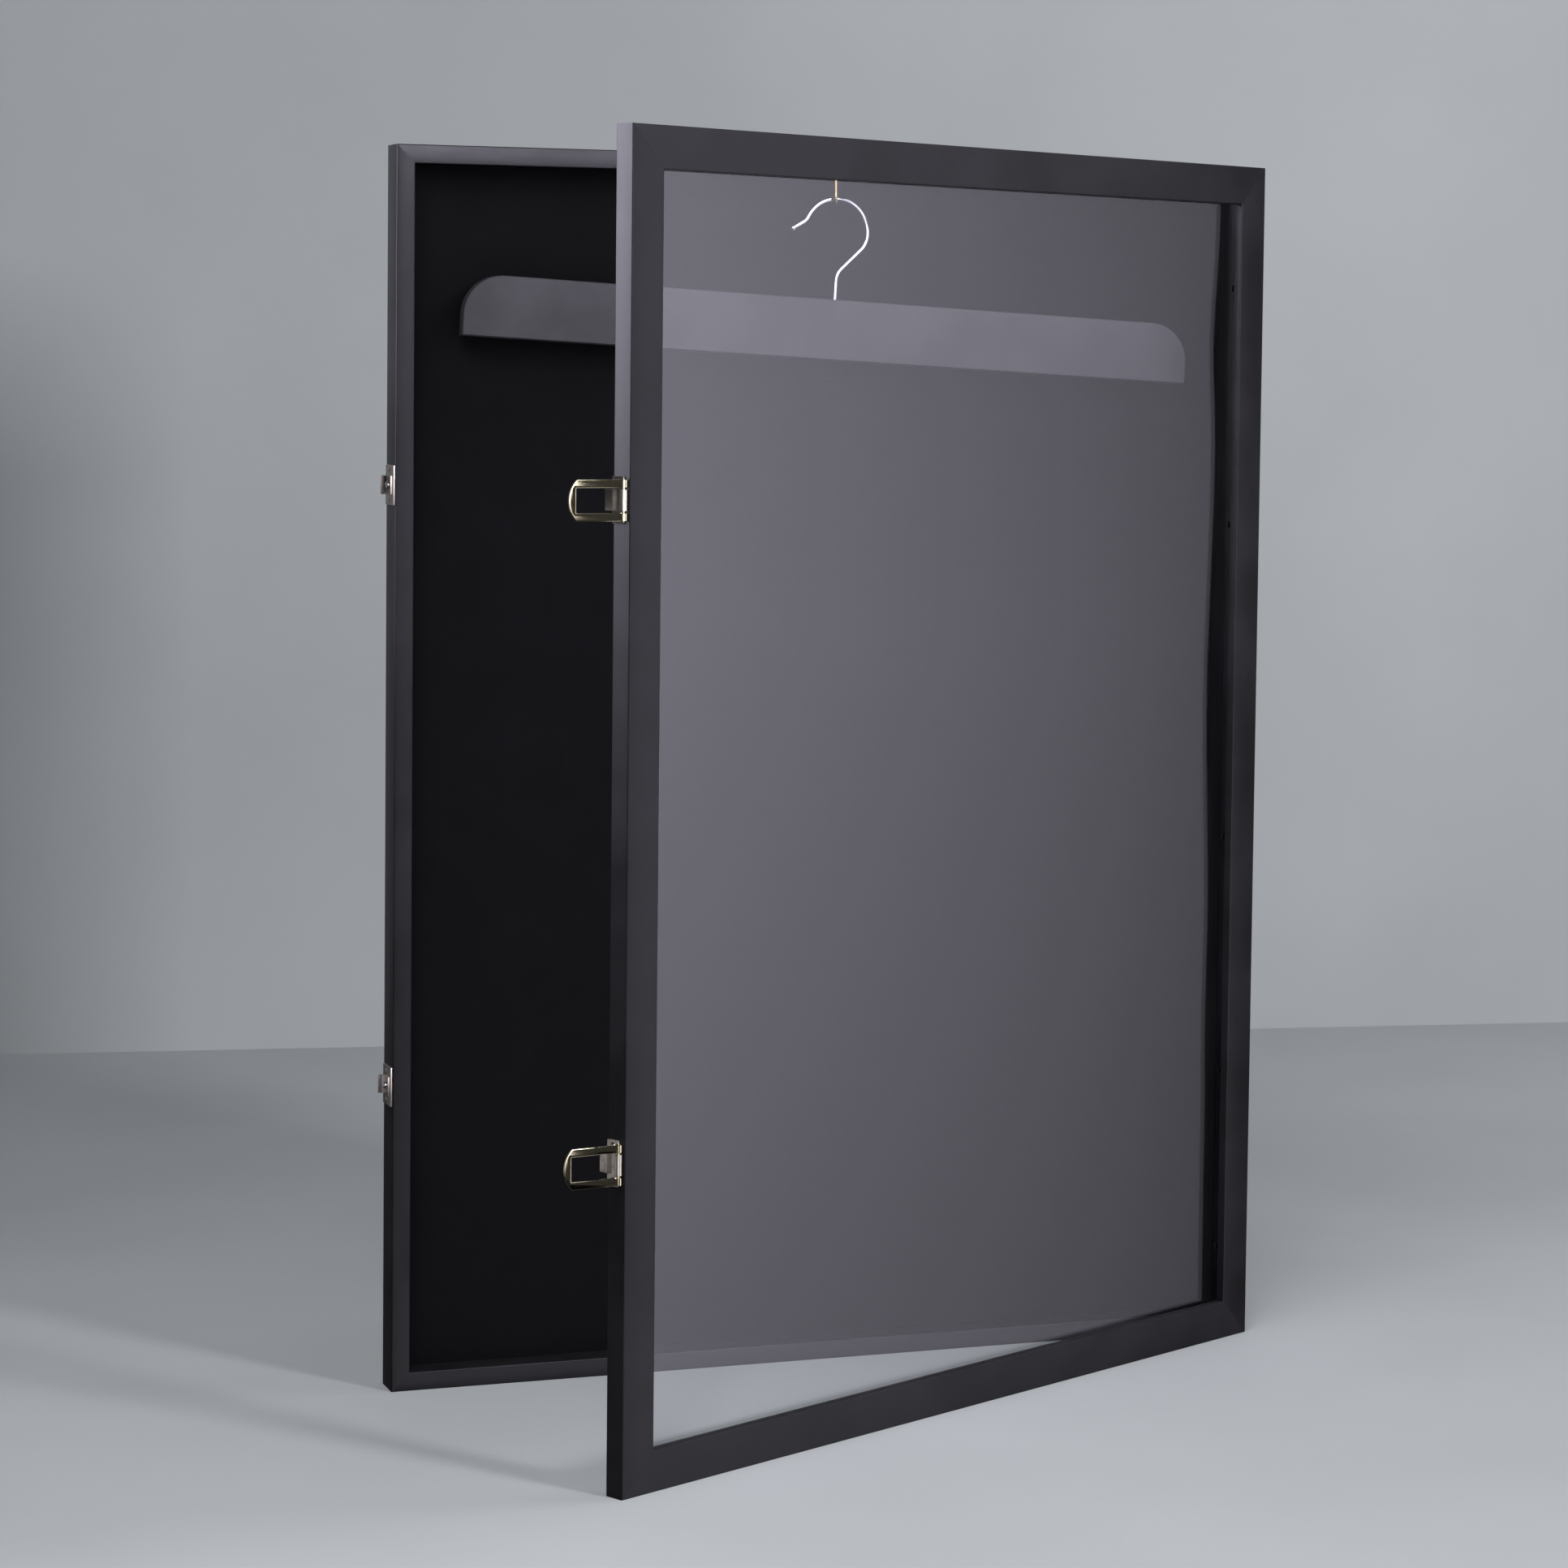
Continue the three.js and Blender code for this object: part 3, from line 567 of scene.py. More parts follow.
def recess_cutter(head, depth):
    """A tapered cross for a screw's drive."""
    wide, narrow = head * 0.62, head * 0.2
    arms = []
    for quarter in (0, math.pi / 2):
        bm = bmesh.new()
        bmesh.ops.create_cube(bm, size=1)
        for v in bm.verts:
            taper = 1 if v.co.z > 0 else 0.45
            v.co = Vector((v.co.x * 2 * wide * taper, v.co.y * 2 * narrow * taper, v.co.z * 2 * depth))
        bmesh.ops.rotate(bm, matrix=Matrix.Rotation(quarter, 3, "Z"), verts=bm.verts)
        arms.append(mesh_from(bm))
    return arms


def screw(head, rise, shank, length, domed=True, turn=0.0):
    """A cross-head screw with its head's underside at 0, pointing down."""
    edge = rise * (0.35 if domed else 0.8)
    profile = [(0, -length), (shank * 0.4, -length), (shank, -length * 0.8), (shank, 0)]
    profile += [(head, 0), (head, edge * 0.6), (head * 0.97, edge * 0.85)]
    body = lathe([*profile, *dome(head * 0.95, edge, rise, 6)])
    cutters = [moved(arm, at(0, 0, rise)) for arm in recess_cutter(head, rise * 0.75)]
    return moved(carved(body, cutters), Matrix.Rotation(math.radians(turn), 4, "Z"))


def pointed(shank, length):
    return [(0, -length), (shank, -length + 1.5 * MM), (shank, 0)]


def nail(head, rise, shank, length):
    edge = [(head * 0.9, 0), (head, rise * 0.3), (head, rise * 0.7), (head * 0.85, rise), (0, rise)]
    return lathe([*pointed(shank, length), *edge], 20)


def dome_pin(head, rise, shank, length):
    """A round-headed pin."""
    return lathe([*pointed(shank, length), (head, 0), *dome(head, rise * 0.15, rise, 7)])


TOWARDS = {
    "left": Matrix.Rotation(-math.pi / 2, 4, "Y"),
    "front": Matrix.Rotation(math.pi / 2, 4, "X"),
    "back": Matrix.Rotation(-math.pi / 2, 4, "X"),
}
DRILL = 8 * MM


def middle_of(box):
    return (box[0] + box[1]) / 2


def drill(radius, place, towards):
    """A cutter for a round hole, with its middle on a point."""
    return moved(rod(radius, DRILL), at(*place) @ TOWARDS[towards] @ at(0, 0, -DRILL / 2))


def put_fasteners(names, group, look, facing, rise, meshes):
    """Fasteners that stand where the CAD has theirs, with the tops of their heads at the same depth."""
    for name, mesh in zip(names, meshes):
        low, high = box_in(group[0], name)
        x, y, z = middle_of((low, high))
        spots = {"left": (low.x + rise, y, z), "front": (x, low.y + rise, z)}
        spots["back"] = (x, high.y - rise, z)
        mesh = moved(mesh, at(*spots[facing]) @ TOWARDS[facing])
        piece(name + "_detail", mesh, group, look, (name,))


def pin_rod(node, group, look, radius, chamfer):
    low, high = box_in(group[0], node)
    x, y, _ = middle_of((low, high))
    mesh = post((x, y, low.z), radius, high.z - low.z, chamfer, 20)
    piece(node + "_rod", mesh, group, look, (node,))


# ---- Frames: sizes from the CAD, and mitred rails with eased arrises ----

SIDES = ("upper", "lower")
MITRE_SEAM = 0.04 * MM
CLEARANCE = 0.3 * MM  # between a piece and what it is let into
LEAF_THICK = 1.0 * MM
# Each rail's long axis, and whether it stands at the low end of the other one.
RAIL_SIDES = {
    "left_stile": ("z", True),
    "right_stile": ("z", False),
    "top_rail": ("x", False),
    "bottom_rail": ("x", True),
}


def rail_mesh(side, profile, low, high):
    """One side of a frame. Its profile gives how far in from the frame's outer edge, and the depth."""
    runs, at_low = RAIL_SIDES[side]
    bm = bmesh.new()
    ends = ([], [])
    for inset, depth in profile:
        x = low.x + inset if at_low else high.x - inset
        z = low.z + inset if at_low else high.z - inset
        for end, verts in enumerate(ends):
            if runs == "z":
                z = high.z - inset - MITRE_SEAM if end else low.z + inset + MITRE_SEAM
            else:
                x = high.x - inset - MITRE_SEAM if end else low.x + inset + MITRE_SEAM
            verts.append(bm.verts.new((x, depth, z)))
    count = len(profile)
    for i in range(count):
        j = (i + 1) % count
        bm.faces.new((ends[0][i], ends[0][j], ends[1][j], ends[1][i]))
    for verts in ends:
        bm.faces.new(verts)
    return mesh_from(bm)


def leaf_mortise(group, side, face_y, into):
    """The shallow cut for a hinge leaf, open to the rail's outer side."""
    place, body = group
    low, high = box_in(place, f"{side}_hinge_{body}_leaf")
    before, beside = 1.5 * MM, 5 * MM  # how far the cutter stands out of the wood
    ys = sorted((face_y - into * before, face_y + into * LEAF_THICK))
    corner = (high.x + beside, ys[1], high.z + CLEARANCE)
    return block((low.x - CLEARANCE, ys[0], low.z - CLEARANCE), corner)


def frame_box(group):
    """A frame's lowest and highest corners, and how wide the faces of its rails are."""
    place, body = group
    low, high = box_in(place, f"{body}_left_stile")[0], box_in(place, f"{body}_right_stile")[1]
    low.z, high.z = box_in(place, f"{body}_bottom_rail")[0].z, box_in(place, f"{body}_top_rail")[1].z
    return low, high, box_in(place, f"{body}_left_stile")[1].x - low.x


def frame_rails(group, size, filling, side_gap, ease, leaf_y, into):
    """Four mitred rails with a rabbet in their inner rear corners for what fills the frame."""
    low, high, face = size
    step, shelf = filling.x - side_gap - low.x, filling.y - CLEARANCE
    outline = [(0, low.y, ease), (face, low.y, ease), (face, shelf, ease / 2)]
    outline += [(step, shelf, 0), (step, high.y, ease / 2), (0, high.y, ease)]
    profile = filleted(outline, 5)
    for side, (runs, _) in RAIL_SIDES.items():
        mesh = rail_mesh(side, profile, low, high)
        if side == "right_stile":
            mesh = carved(mesh, [leaf_mortise(group, s, leaf_y, into) for s in SIDES])
        node = f"{group[1]}_{side}"
        piece(node + "_moulding", mesh, group, black_paint, (node,), runs)


case_low, case_high, case_face = case_size = frame_box(CASE)
_, door_high, _ = door_size = frame_box(DOOR)
board_low, board_high = box_in(IN_CASE, "back_board")
felt_low, felt_high = box_in(IN_CASE, "felt_lining")
glass_low, glass_high = box_in(IN_DOOR, "acrylic_panel")

frame_rails(CASE, case_size, board_low, CLEARANCE, 0.7 * MM, case_low.y, 1)

# ---- Back, felt and wall hangers ----


def sheet_mesh(low, high, step, height, easing=0.3 * MM):
    """A thin sheet facing the front, as a closed grid whose faces rise and sink by a height function."""
    across = max(2, round((high.x - low.x) / step))
    up = max(2, round((high.z - low.z) / step))
    bm = bmesh.new()
    layers = []
    for depth, inward in ((low.y, 1), (high.y, -1)):
        rows = []
        for j in range(up + 1):
            row = []
            for i in range(across + 1):
                x = low.x + (high.x - low.x) * i / across
                z = low.z + (high.z - low.z) * j / up
                on_edge = i in (0, across) or j in (0, up)
                y = depth + height(x, z, inward) + (easing * inward if on_edge else 0)
                row.append(bm.verts.new((x, y, z)))
            rows.append(row)
        layers.append(rows)
    for rows in layers:
        for j in range(up):
            for i in range(across):
                bm.faces.new((rows[j][i], rows[j][i + 1], rows[j + 1][i + 1], rows[j + 1][i]))
    front, rear = layers
    rim = [(0, i) for i in range(across)] + [(j, across) for j in range(up)]
    rim += [(up, i) for i in range(across, 0, -1)] + [(j, 0) for j in range(up, 0, -1)]
    for (j, i), (n, m) in zip(rim, rim[1:] + rim[:1]):
        bm.faces.new((front[j][i], front[n][m], rear[n][m], rear[j][i]))
    return mesh_from(bm)


FELT_STEP = 5 * MM


def felt_height(x, z, inward):
    """The cloth is glued down, so only its front lies a little unevenly."""
    if inward < 0:
        return 0.0
    slow = noise.noise(Vector((x * 14, 0.0, z * 14)))
    fast = noise.noise(Vector((x * 60, 3.0, z * 60)))
    return 0.22 * MM * slow + 0.08 * MM * fast


def felt_lining():
    mesh = sheet_mesh(felt_low, felt_high, FELT_STEP, felt_height)
    made = piece("felt_sheet", mesh, CASE, ("felt", felt_cloth()), ("felt_lining",))


def back_panel():
    low, high = board_low, board_high
    outline = rounded_box((low.x, low.z), (high.x, high.z), 1.5 * MM)
    mesh = facing_front(plate([outline], high.y - low.y, 0.35 * MM), (low.y + high.y) / 2)
    piece("back_board_panel", mesh, CASE, ("hardboard", hardboard_back()), ("back_board",), "x")


def back_points():
    """Flat points driven into the rabbet's walls, which hold the back board."""
    low, high = board_low, board_high
    wide, long, thick, tucked = 6 * MM, 13 * MM, 0.5 * MM, 5 * MM
    spots = [(x, z, 0) for x in (-200 * MM, 0, 200 * MM) for z in (low.z, high.z)]
    spots += [(x, z, 1) for x in (low.x, high.x) for z in (140 * MM, 320 * MM, 480 * MM, 660 * MM)]
    middle = (low + high) / 2
    blades = []
    for x, z, level in spots:
        towards = Vector((middle.x - x, 0) if level else (0, middle.z - z)).normalized()
        spread = Vector((-towards.y, towards.x)) * wide / 2
        foot, tip = Vector((x, z)) - towards * tucked, Vector((x, z)) + towards * (long - tucked)
        corners = [foot + spread, foot - spread, tip - spread * 0.35, tip + spread * 0.35]
        blade = plate([corners], thick, 0.12 * MM, 1)
        blades.append(facing_front(blade, high.y + 0.1 * MM + thick / 2))
    piece("back_board_points", joined(*blades), CASE, zinc)


def sawtooth_hangers():
    for side in ("left", "right"):
        node = f"{side}_sawtooth_hanger"
        low, high = box_in(IN_CASE, node)
        shoulder, lean, teeth = 7 * MM, 4 * MM, 9
        pitch = (high.x - low.x - 2 * shoulder) / teeth
        outline = [(low.x, high.z), (low.x, low.z + 2 * MM), (low.x + lean, low.z)]
        for i in range(teeth):
            left = low.x + shoulder + i * pitch
            outline += [(left, low.z), (left + pitch / 2, low.z + 1.8 * MM)]
        outline += [(high.x - shoulder, low.z), (high.x - lean, low.z)]
        outline += [(high.x, low.z + 2 * MM), (high.x, high.z)]
        mesh = facing_front(plate([outline], high.y - low.y, 0.15 * MM, 1), (low.y + high.y) / 2)
        nails = [f"{side}_sawtooth_nail_{i}" for i in (1, 2)]
        holes = [drill(1.0 * MM, middle_of(box_in(IN_CASE, nail)), "back") for nail in nails]
        piece(node + "_strip", carved(mesh, holes), CASE, zinc, (node,), "x")
        rise = 0.6 * MM
        made = [nail(1.6 * MM, rise, 0.6 * MM, 9 * MM) for _ in nails]
        put_fasteners(nails, CASE, zinc, "back", rise, made)


felt_lining()
back_panel()
back_points()
sawtooth_hangers()

# ---- Strikes ----

# The strip's line in millimetres: how far out from its flat part, and how far back from its front end.
STRIKE_LINE = ((0, 0), (0, 4.5), (0, 8.8), (0.55, 10.1), (1.45, 11.3), (2.55, 12.1), (3.75, 12.7))


def strikes():
    """A flat plate, and a raised middle strip whose rear end curls out into a catch."""
    thick, strip_thick, strip_tall = 1.0 * MM, 0.8 * MM, 12 * MM
    screw_rise, pin_rise = 1.4 * MM, 1.3 * MM
    for side in SIDES:
        low, high = box_in(IN_CASE, f"{side}_strike")
        base = plate([rounded_box((low.y, low.z), (high.y, high.z), 0.5 * MM)], thick, 0.22 * MM)
        base = facing_side(base, high.x - thick / 2)
        x, front = high.x - thick - 0.35 * MM, low.y + 4.5 * MM
        line = smooth_line([(x - out * MM, front + back * MM) for out, back in STRIKE_LINE], 4)
        strip = plate([ribbon(line, strip_thick)], strip_tall, 0.2 * MM)
        mesh = joined(base, moved(strip, at(0, 0, (low.z + high.z) / 2)))
        piece(f"{side}_strike_plate", mesh, CASE, nickel, (f"{side}_strike",))
        made = screw(2.55 * MM, screw_rise, 1.1 * MM, 9 * MM, turn=28)
        put_fasteners([f"{side}_strike_screw"], CASE, bright_zinc, "left", screw_rise, [made])
        pins = [f"{side}_strike_pin_{i}" for i in (1, 2)]
        made = [dome_pin(1.7 * MM, pin_rise, 0.8 * MM, 7 * MM) for _ in pins]
        put_fasteners(pins, CASE, nickel, "left", pin_rise, made)


strikes()

# ---- Screw hook ----


def screw_hook():
    low, high = box_in(IN_SCREW_HOOK, "screw_hook")
    radius = (high.x - low.x) / 2
    x = (low.x + high.x) / 2
    bowl = (high.y - low.y) / 2 - radius
    bottom, tip = low.z + radius + bowl, 4 * MM
    line = bent_line((high.y - radius, high.z), -90, [(high.z - bottom, 0), arc(bowl, -180), (tip, 0)])
    points = [(x, y, z) for y, z in line]
    wood = case_high.z - case_face
    radii = []
    for i, (_, _, z) in enumerate(points):  # a thread inside the wood, and a collar just below it
        thread = 0.84 if z > wood + 1 * MM and i % 2 else 1
        radii.append(radius * (1.16 if 2.0 * MM > wood - z > 0.9 * MM else thread))
    for back, share in ((1, 0.55), (2, 0.85), (3, 0.97)):
        radii[-back] = radius * share
    mesh = tube(points, radii)
    piece("brass_screw_hook", mesh, (IN_SCREW_HOOK, "case"), brass, ("screw_hook",))


screw_hook()

# ---- Door ----

frame_rails(DOOR, door_size, glass_low, 2 * CLEARANCE, 0.8 * MM, door_high.y, -1)

# The sheet is held at its glazing points, and its right side bows forward a little between them.
ACRYLIC_STEP = 4 * MM
BOW_REACH = 60 * MM
BOWS = [(450 * MM, 110 * MM, 0.42 * MM), (230 * MM, 50 * MM, 0.12 * MM), (680 * MM, 45 * MM, 0.3 * MM)]


def acrylic_bow(x, z, _inward):
    bow = sum(deep * math.exp(-(((z - middle) / reach) ** 2)) for middle, reach, deep in BOWS)
    from_edge = glass_high.x - x
    shape = 1 - math.exp(-from_edge / BOW_REACH) if from_edge < 2 * BOW_REACH else 1 - math.exp(-2)
    shape *= math.exp(-max(0, from_edge - 2 * BOW_REACH) / (2 * BOW_REACH))
    waves = 0.08 * MM * noise.noise(Vector((x * 4, 7.0, z * 4)))
    return waves * min(1, from_edge / (40 * MM)) - bow * shape


def acrylic():
    mesh = sheet_mesh(glass_low, glass_high, ACRYLIC_STEP, acrylic_bow, 0.25 * MM)
    piece("acrylic_sheet", mesh, DOOR, ("acrylic", clear_acrylic()), ("acrylic_panel",))


def point_blade(low, high):
    """A rhombic steel point lying flat on the back of the sheet."""
    size, middle = high - low, middle_of((low, high))
    towards = Vector((-middle.x, 0) if size.x > size.z else (0, door_high.z / 2 - middle.z)).normalized()
    across = Vector((-towards.y, towards.x))
    half_long, half_wide = max(size.x, size.z) / 2, min(size.x, size.z) / 2
    centre = Vector((middle.x, middle.z))
    outline = []
    for along, beside in ((-1, -1), (1, -0.44), (1, 0.44), (-1, 1)):
        outline.append(centre + towards * along * half_long + across * beside * half_wide)
    return facing_front(plate([outline], size.y, 0.12 * MM, 1), middle.y)


MORE_POINTS = (558 * MM, 184 * MM)  # heights on the right stile, past the CAD's limit of nodes


def glazing_points():
    for node in (n for n in frame["nodes"] if n.startswith("glazing_point")):
        mesh = point_blade(*box_in(IN_DOOR, node))
        piece(node + "_blade", mesh, DOOR, zinc, (node,), "x")
    low, high = box_in(IN_DOOR, "glazing_point_right_1")
    lifts = [Vector((0, 0, z - (low.z + high.z) / 2)) for z in MORE_POINTS]
    extra = [point_blade(low + lift, high + lift) for lift in lifts]
    piece("glazing_points_more", joined(*extra), DOOR, zinc, (), "x")


acrylic()
glazing_points()

# ---- Hinges ----

LEAF_HEIGHT = 50 * MM
KNUCKLE_GAP = 0.4 * MM
HINGE_KNUCKLE, HINGE_BORE = 2.2 * MM, 1.3 * MM  # radii
LEAF_MARGIN = 3.9 * MM  # from the screws' middles to the leaf's inner edge


def hinge_leaf(group, side, knuckles):
    place, which = group
    node = f"{side}_hinge_{which}_leaf"
    low, high = box_in(place, node)
    pin_x, pin_y, _ = middle_of(box_in(IN_CASE, f"{side}_hinge_pin"))
    z = (low.z + high.z) / 2
    names = [f"{side}_hinge_{which}_screw_{i}" for i in (1, 2)]
    screws = [middle_of(box_in(place, name)) for name in names]
    inner, edge = screws[0].x - LEAF_MARGIN, case_high.x - 0.1 * MM
    half, half_thick = LEAF_HEIGHT / 2, LEAF_THICK / 2
    outline = rounded_box((inner, z - half), (edge, z + half), 1.2 * MM)
    front = case_low.y - CLEARANCE if which == "case" else door_high.y + CLEARANCE - LEAF_THICK
    leaf_y = front + half_thick
    leaf = facing_front(plate([outline], LEAF_THICK, 0.15 * MM), leaf_y)
    barrels = []
    for start, end in knuckles:
        barrel = post((pin_x, pin_y, z + start), HINGE_KNUCKLE, end - start, 0.25 * MM)
        web_low = (edge - 0.6 * MM, leaf_y - half_thick, z + start)
        barrels += [barrel, block(web_low, (pin_x, leaf_y + half_thick, z + end))]
    mesh = welded(leaf, barrels)
    bore = post((pin_x, pin_y, z - LEAF_HEIGHT), HINGE_BORE, 2 * LEAF_HEIGHT)
    sinks = [drill(2.1 * MM, (p.x, leaf_y, p.z), "back") for p in screws]
    return carved(mesh, [bore, *sinks]), node, names


def hinges():
    third = LEAF_HEIGHT / 3
    near, far = third / 2 + KNUCKLE_GAP / 2, LEAF_HEIGHT / 2
    knuckles = {"case": [(near, far), (-far, -near)], "door": [(-near + KNUCKLE_GAP, near - KNUCKLE_GAP)]}
    rise = 0.9 * MM
    for side in SIDES:
        for group, facing in ((CASE, "front"), (DOOR, "back")):
            mesh, node, names = hinge_leaf(group, side, knuckles[group[1]])
            piece(node + "_plate", mesh, group, nickel, (node,))
            made = [screw(1.9 * MM, rise, 0.9 * MM, 8 * MM, domed=False, turn=turn) for turn in (20, 67)]
            put_fasteners(names, group, nickel, facing, rise, made)
        pin_rod(f"{side}_hinge_pin", CASE, nickel, 1.0 * MM, 0.3 * MM)


hinges()

# ---- Latches ----

KNUCKLE_RADIUS = 2.15 * MM
LATCH_BORE = 1.2 * MM
# The tongue's line in millimetres: how far in from the plate's middle, and how far behind the door.
TONGUE_LINE = ((0.1, -4.4), (0.5, -3.2), (1.3, -1.8), (1.4, -0.4), (1.4, 4.4))


def latch_base(side):
    """A plate on the door's side, with a tongue that reaches back and a barrel for the hasp's pin."""
    low, high = box_in(IN_DOOR, f"{side}_latch_base")
    _, pin = hasp_place(side)
    thick, tall, tongue_thick = 1.0 * MM, 12.5 * MM, 0.8 * MM
    plate_low, plate_high = pin.y + 1.8 * MM, door_high.y - CLEARANCE
    base = plate([rounded_box((plate_low, low.z), (plate_high, high.z), 0.6 * MM)], thick, 0.2 * MM)
    x = high.x - thick / 2
    line = [(x - inwards * MM, door_high.y + back * MM) for inwards, back in TONGUE_LINE]
    line = smooth_line([(x, pin.y + 5 * MM), *line], 4)
    tongue = moved(plate([ribbon(line, tongue_thick)], tall, 0.18 * MM), at(0, 0, pin.z))
    bottom = pin.z - tall / 2
    neck = block((high.x - thick, pin.y, bottom), (high.x, pin.y + 3 * MM, pin.z + tall / 2))
    barrel = post((pin.x, pin.y, bottom), KNUCKLE_RADIUS, tall, 0.2 * MM)
    mesh = welded(facing_side(base, x), [neck, tongue, barrel])
    bore = post((pin.x, pin.y, pin.z - 20 * MM), LATCH_BORE, 40 * MM)
    screws = [f"{side}_latch_screw_{i}" for i in (1, 2)]
    holes = [drill(2.0 * MM, (high.x, *middle_of(box_in(IN_DOOR, name)).yz), "left") for name in screws]
    mesh = carved(mesh, [bore, *holes])
    piece(f"{side}_latch_base_plate", mesh, DOOR, satin_gold, (f"{side}_latch_base",))
    rise = 1.3 * MM
    made = [screw(1.7 * MM, rise, 0.8 * MM, 7 * MM, turn=turn) for turn in (15, 65)]
    put_fasteners(screws, DOOR, pale_gold, "left", rise, made)


def latch_hasp(side):
    """A flat loop with a bowed outer end; its two arms end in knuckles on the pin."""
    place, pin = hasp_place(side)
    low, high = box_in(place, f"{side}_latch_hasp")
    half = (high.z - low.z) / 2
    window, window_end, end_bow, thick = 7.2 * MM, 30.8 * MM, 5.4 * MM, 1.5 * MM
    radius = half * half / (2 * end_bow) + end_bow / 2
    spread = math.asin(half / radius)
    outline = [(pin.y, pin.z - half)]
    steps = 20
    for k in range(steps + 1):
        t = spread * (2 * k / steps - 1)
        outline.append((high.y - radius + radius * math.cos(t), pin.z + radius * math.sin(t)))
    outline.append((pin.y, pin.z + half))
    start = pin.y + KNUCKLE_RADIUS * 0.9
    hole = rounded_box((start, pin.z - window), (pin.y + window_end, pin.z + window), 0.5 * MM)
    loop = plate([outline, hole], thick, 0.5 * MM, 3)
    loop = facing_side(loop, low.x + KNUCKLE_RADIUS - 0.9 * MM + thick / 2)
    reach = 5 * MM
    gap_low = (pin.x - reach, pin.y - reach, pin.z - window)
    gap_high = (pin.x + reach, start + 0.6 * MM, pin.z + window)
    arms = carved(loop, [block(gap_low, gap_high)])
    barrels = []
    for bottom in (pin.z + window, pin.z - half):
        barrels.append(post((pin.x, pin.y, bottom), KNUCKLE_RADIUS, half - window, 0.35 * MM))
    mesh = welded(arms, barrels)
    bore = post((pin.x, pin.y, pin.z - 30 * MM), LATCH_BORE, 60 * MM)
    node = f"{side}_latch_hasp"
    piece(node + "_loop", carved(mesh, [bore]), (place, f"{side}_hasp"), pale_gold, (node,), "y")


for latch_side in SIDES:
    latch_base(latch_side)
    latch_hasp(latch_side)
    pin_rod(f"{latch_side}_latch_pin", DOOR, pale_gold, 0.9 * MM, 0.25 * MM)

# ---- Hanger ----

HOOK_STEM = 3.2 * MM  # where the wire enters the bar, to the right of its middle


def hanger_bar():
    low, high = box_in(IN_HANGER, "hanger_bar")
    corner, ease = 26 * MM, 0.6 * MM
    corners = [(low.x, low.z, ease), (high.x, low.z, ease)]
    corners += [(high.x, high.z, corner), (low.x, high.z, corner)]
    mesh = plate([filleted(corners, 24)], high.y - low.y, 0.9 * MM, 3)
    mesh = facing_front(mesh, (low.y + high.y) / 2)
    hole = post((HOOK_STEM, 0, high.z - 24 * MM), 1.9 * MM, 40 * MM)
    mesh = carved(mesh, [hole])
    piece("hanger_bar_wood", mesh, HANGER, hanger_paint, ("hanger_bar",), "x")


def hanger_hook():
    """The wire starts in the bar, bends right, runs round over the top and flares out to a ball tip."""
    top = box_in(IN_HANGER, "hanger_hook")[1].z
    bar_top = box_in(IN_HANGER, "hanger_bar")[1].z
    radius, ball = 1.6 * MM, 2.3 * MM
    slant, deep = 44, 16 * MM
    stretches = [(deep + 12.8 * MM, 0), arc(12.2 * MM, -slant), (18.3 * MM, 0)]
    stretches += [arc(14.8 * MM, slant), arc(22 * MM, 156), arc(8.2 * MM, -33), (6.8 * MM, 0)]
    line = bent_line((HOOK_STEM, bar_top - deep), 90, stretches, 4.0)
    rise = top - radius - max(z for _, z in line)
    points = [Vector((x, 0, z + rise)) for x, z in line]
    radii = [radius] * len(points)
    tip, along = points[-1], (points[-1] - points[-2]).normalized()
    steps = 8
    start = -math.sqrt(ball**2 - radius**2)
    for k in range(steps):
        reach = -ball * math.cos(math.pi * (k + 1) / (steps + 1)) if k else start
        if reach < start:
            continue
        points.append(tip + along * (reach - start))
        radii.append(math.sqrt(max(ball**2 - reach**2, (0.1 * MM) ** 2)))
    del points[len(line) - 1], radii[len(line) - 1]
    mesh = tube(points, radii, 24)
    piece("hanger_hook_wire", mesh, HANGER, chrome, ("hanger_hook",))


hanger_bar()
hanger_hook()

# ---- Stage: floor, wall and lights ----

STAGE_COLOUR = (0.37, 0.383, 0.401)


def stage_plane(name, corners, material):
    mesh = bpy.data.meshes.new(name)
    mesh.from_pydata(corners, [], [tuple(range(len(corners)))])
    mesh.materials.append(material)
    made = linked(name, mesh)
    return made


def plaster(name, one_sided=False):
    """A softly clouded, matt painted surface."""
    s = Shader(name)
    place = s.node("NewGeometry").outputs["Position"]
    clouds = s.node("TexNoise", {"Vector": place, "Scale": 2.2, "Detail": 5.0}).outputs["Fac"]
    paler = tuple(c * 1.06 for c in STAGE_COLOUR) + (1,)
    deeper = tuple(c * 0.94 for c in STAGE_COLOUR) + (1,)
    tone = s.blend(s.spread(clouds, 0.3, 0.7), deeper, paler)
    look = {"Base Color": tone, "Roughness": 0.85, "Specular IOR Level": 0.2}
    wall = s.node("BsdfPrincipled", look).outputs[0]
    if one_sided:
        clear = s.node("BsdfTransparent").outputs[0]
        behind = s.node("NewGeometry").outputs["Backfacing"]
        wall = s.node("MixShader", {0: behind, 1: wall, 2: clear}).outputs[0]
    return s.surface(wall)


FLOOR_REACH = 14.0
WALL_DISTANCE = 1.25
WALL_TURN = -9  # degrees


def room():
    r = FLOOR_REACH
    corners = [(-r, -r, 0), (r, -r, 0), (r, r, 0), (-r, r, 0)]
    floor = stage_plane("floor", corners, plaster("floor_paint"))
    floor.visible_glossy = False  # black paint and clear sheet mirror only the cards
    turn = Matrix.Rotation(math.radians(WALL_TURN), 4, "Z")
    wide, tall = 9, 7
    outline = ((-wide, 0), (wide, 0), (wide, tall), (-wide, tall))
    corners = [turn @ Vector((x, WALL_DISTANCE, z)) for x, z in outline]
    wall = stage_plane("wall", corners, plaster("wall_paint", True))
    for surface in (floor, wall):
        stage_only.objects.link(surface)


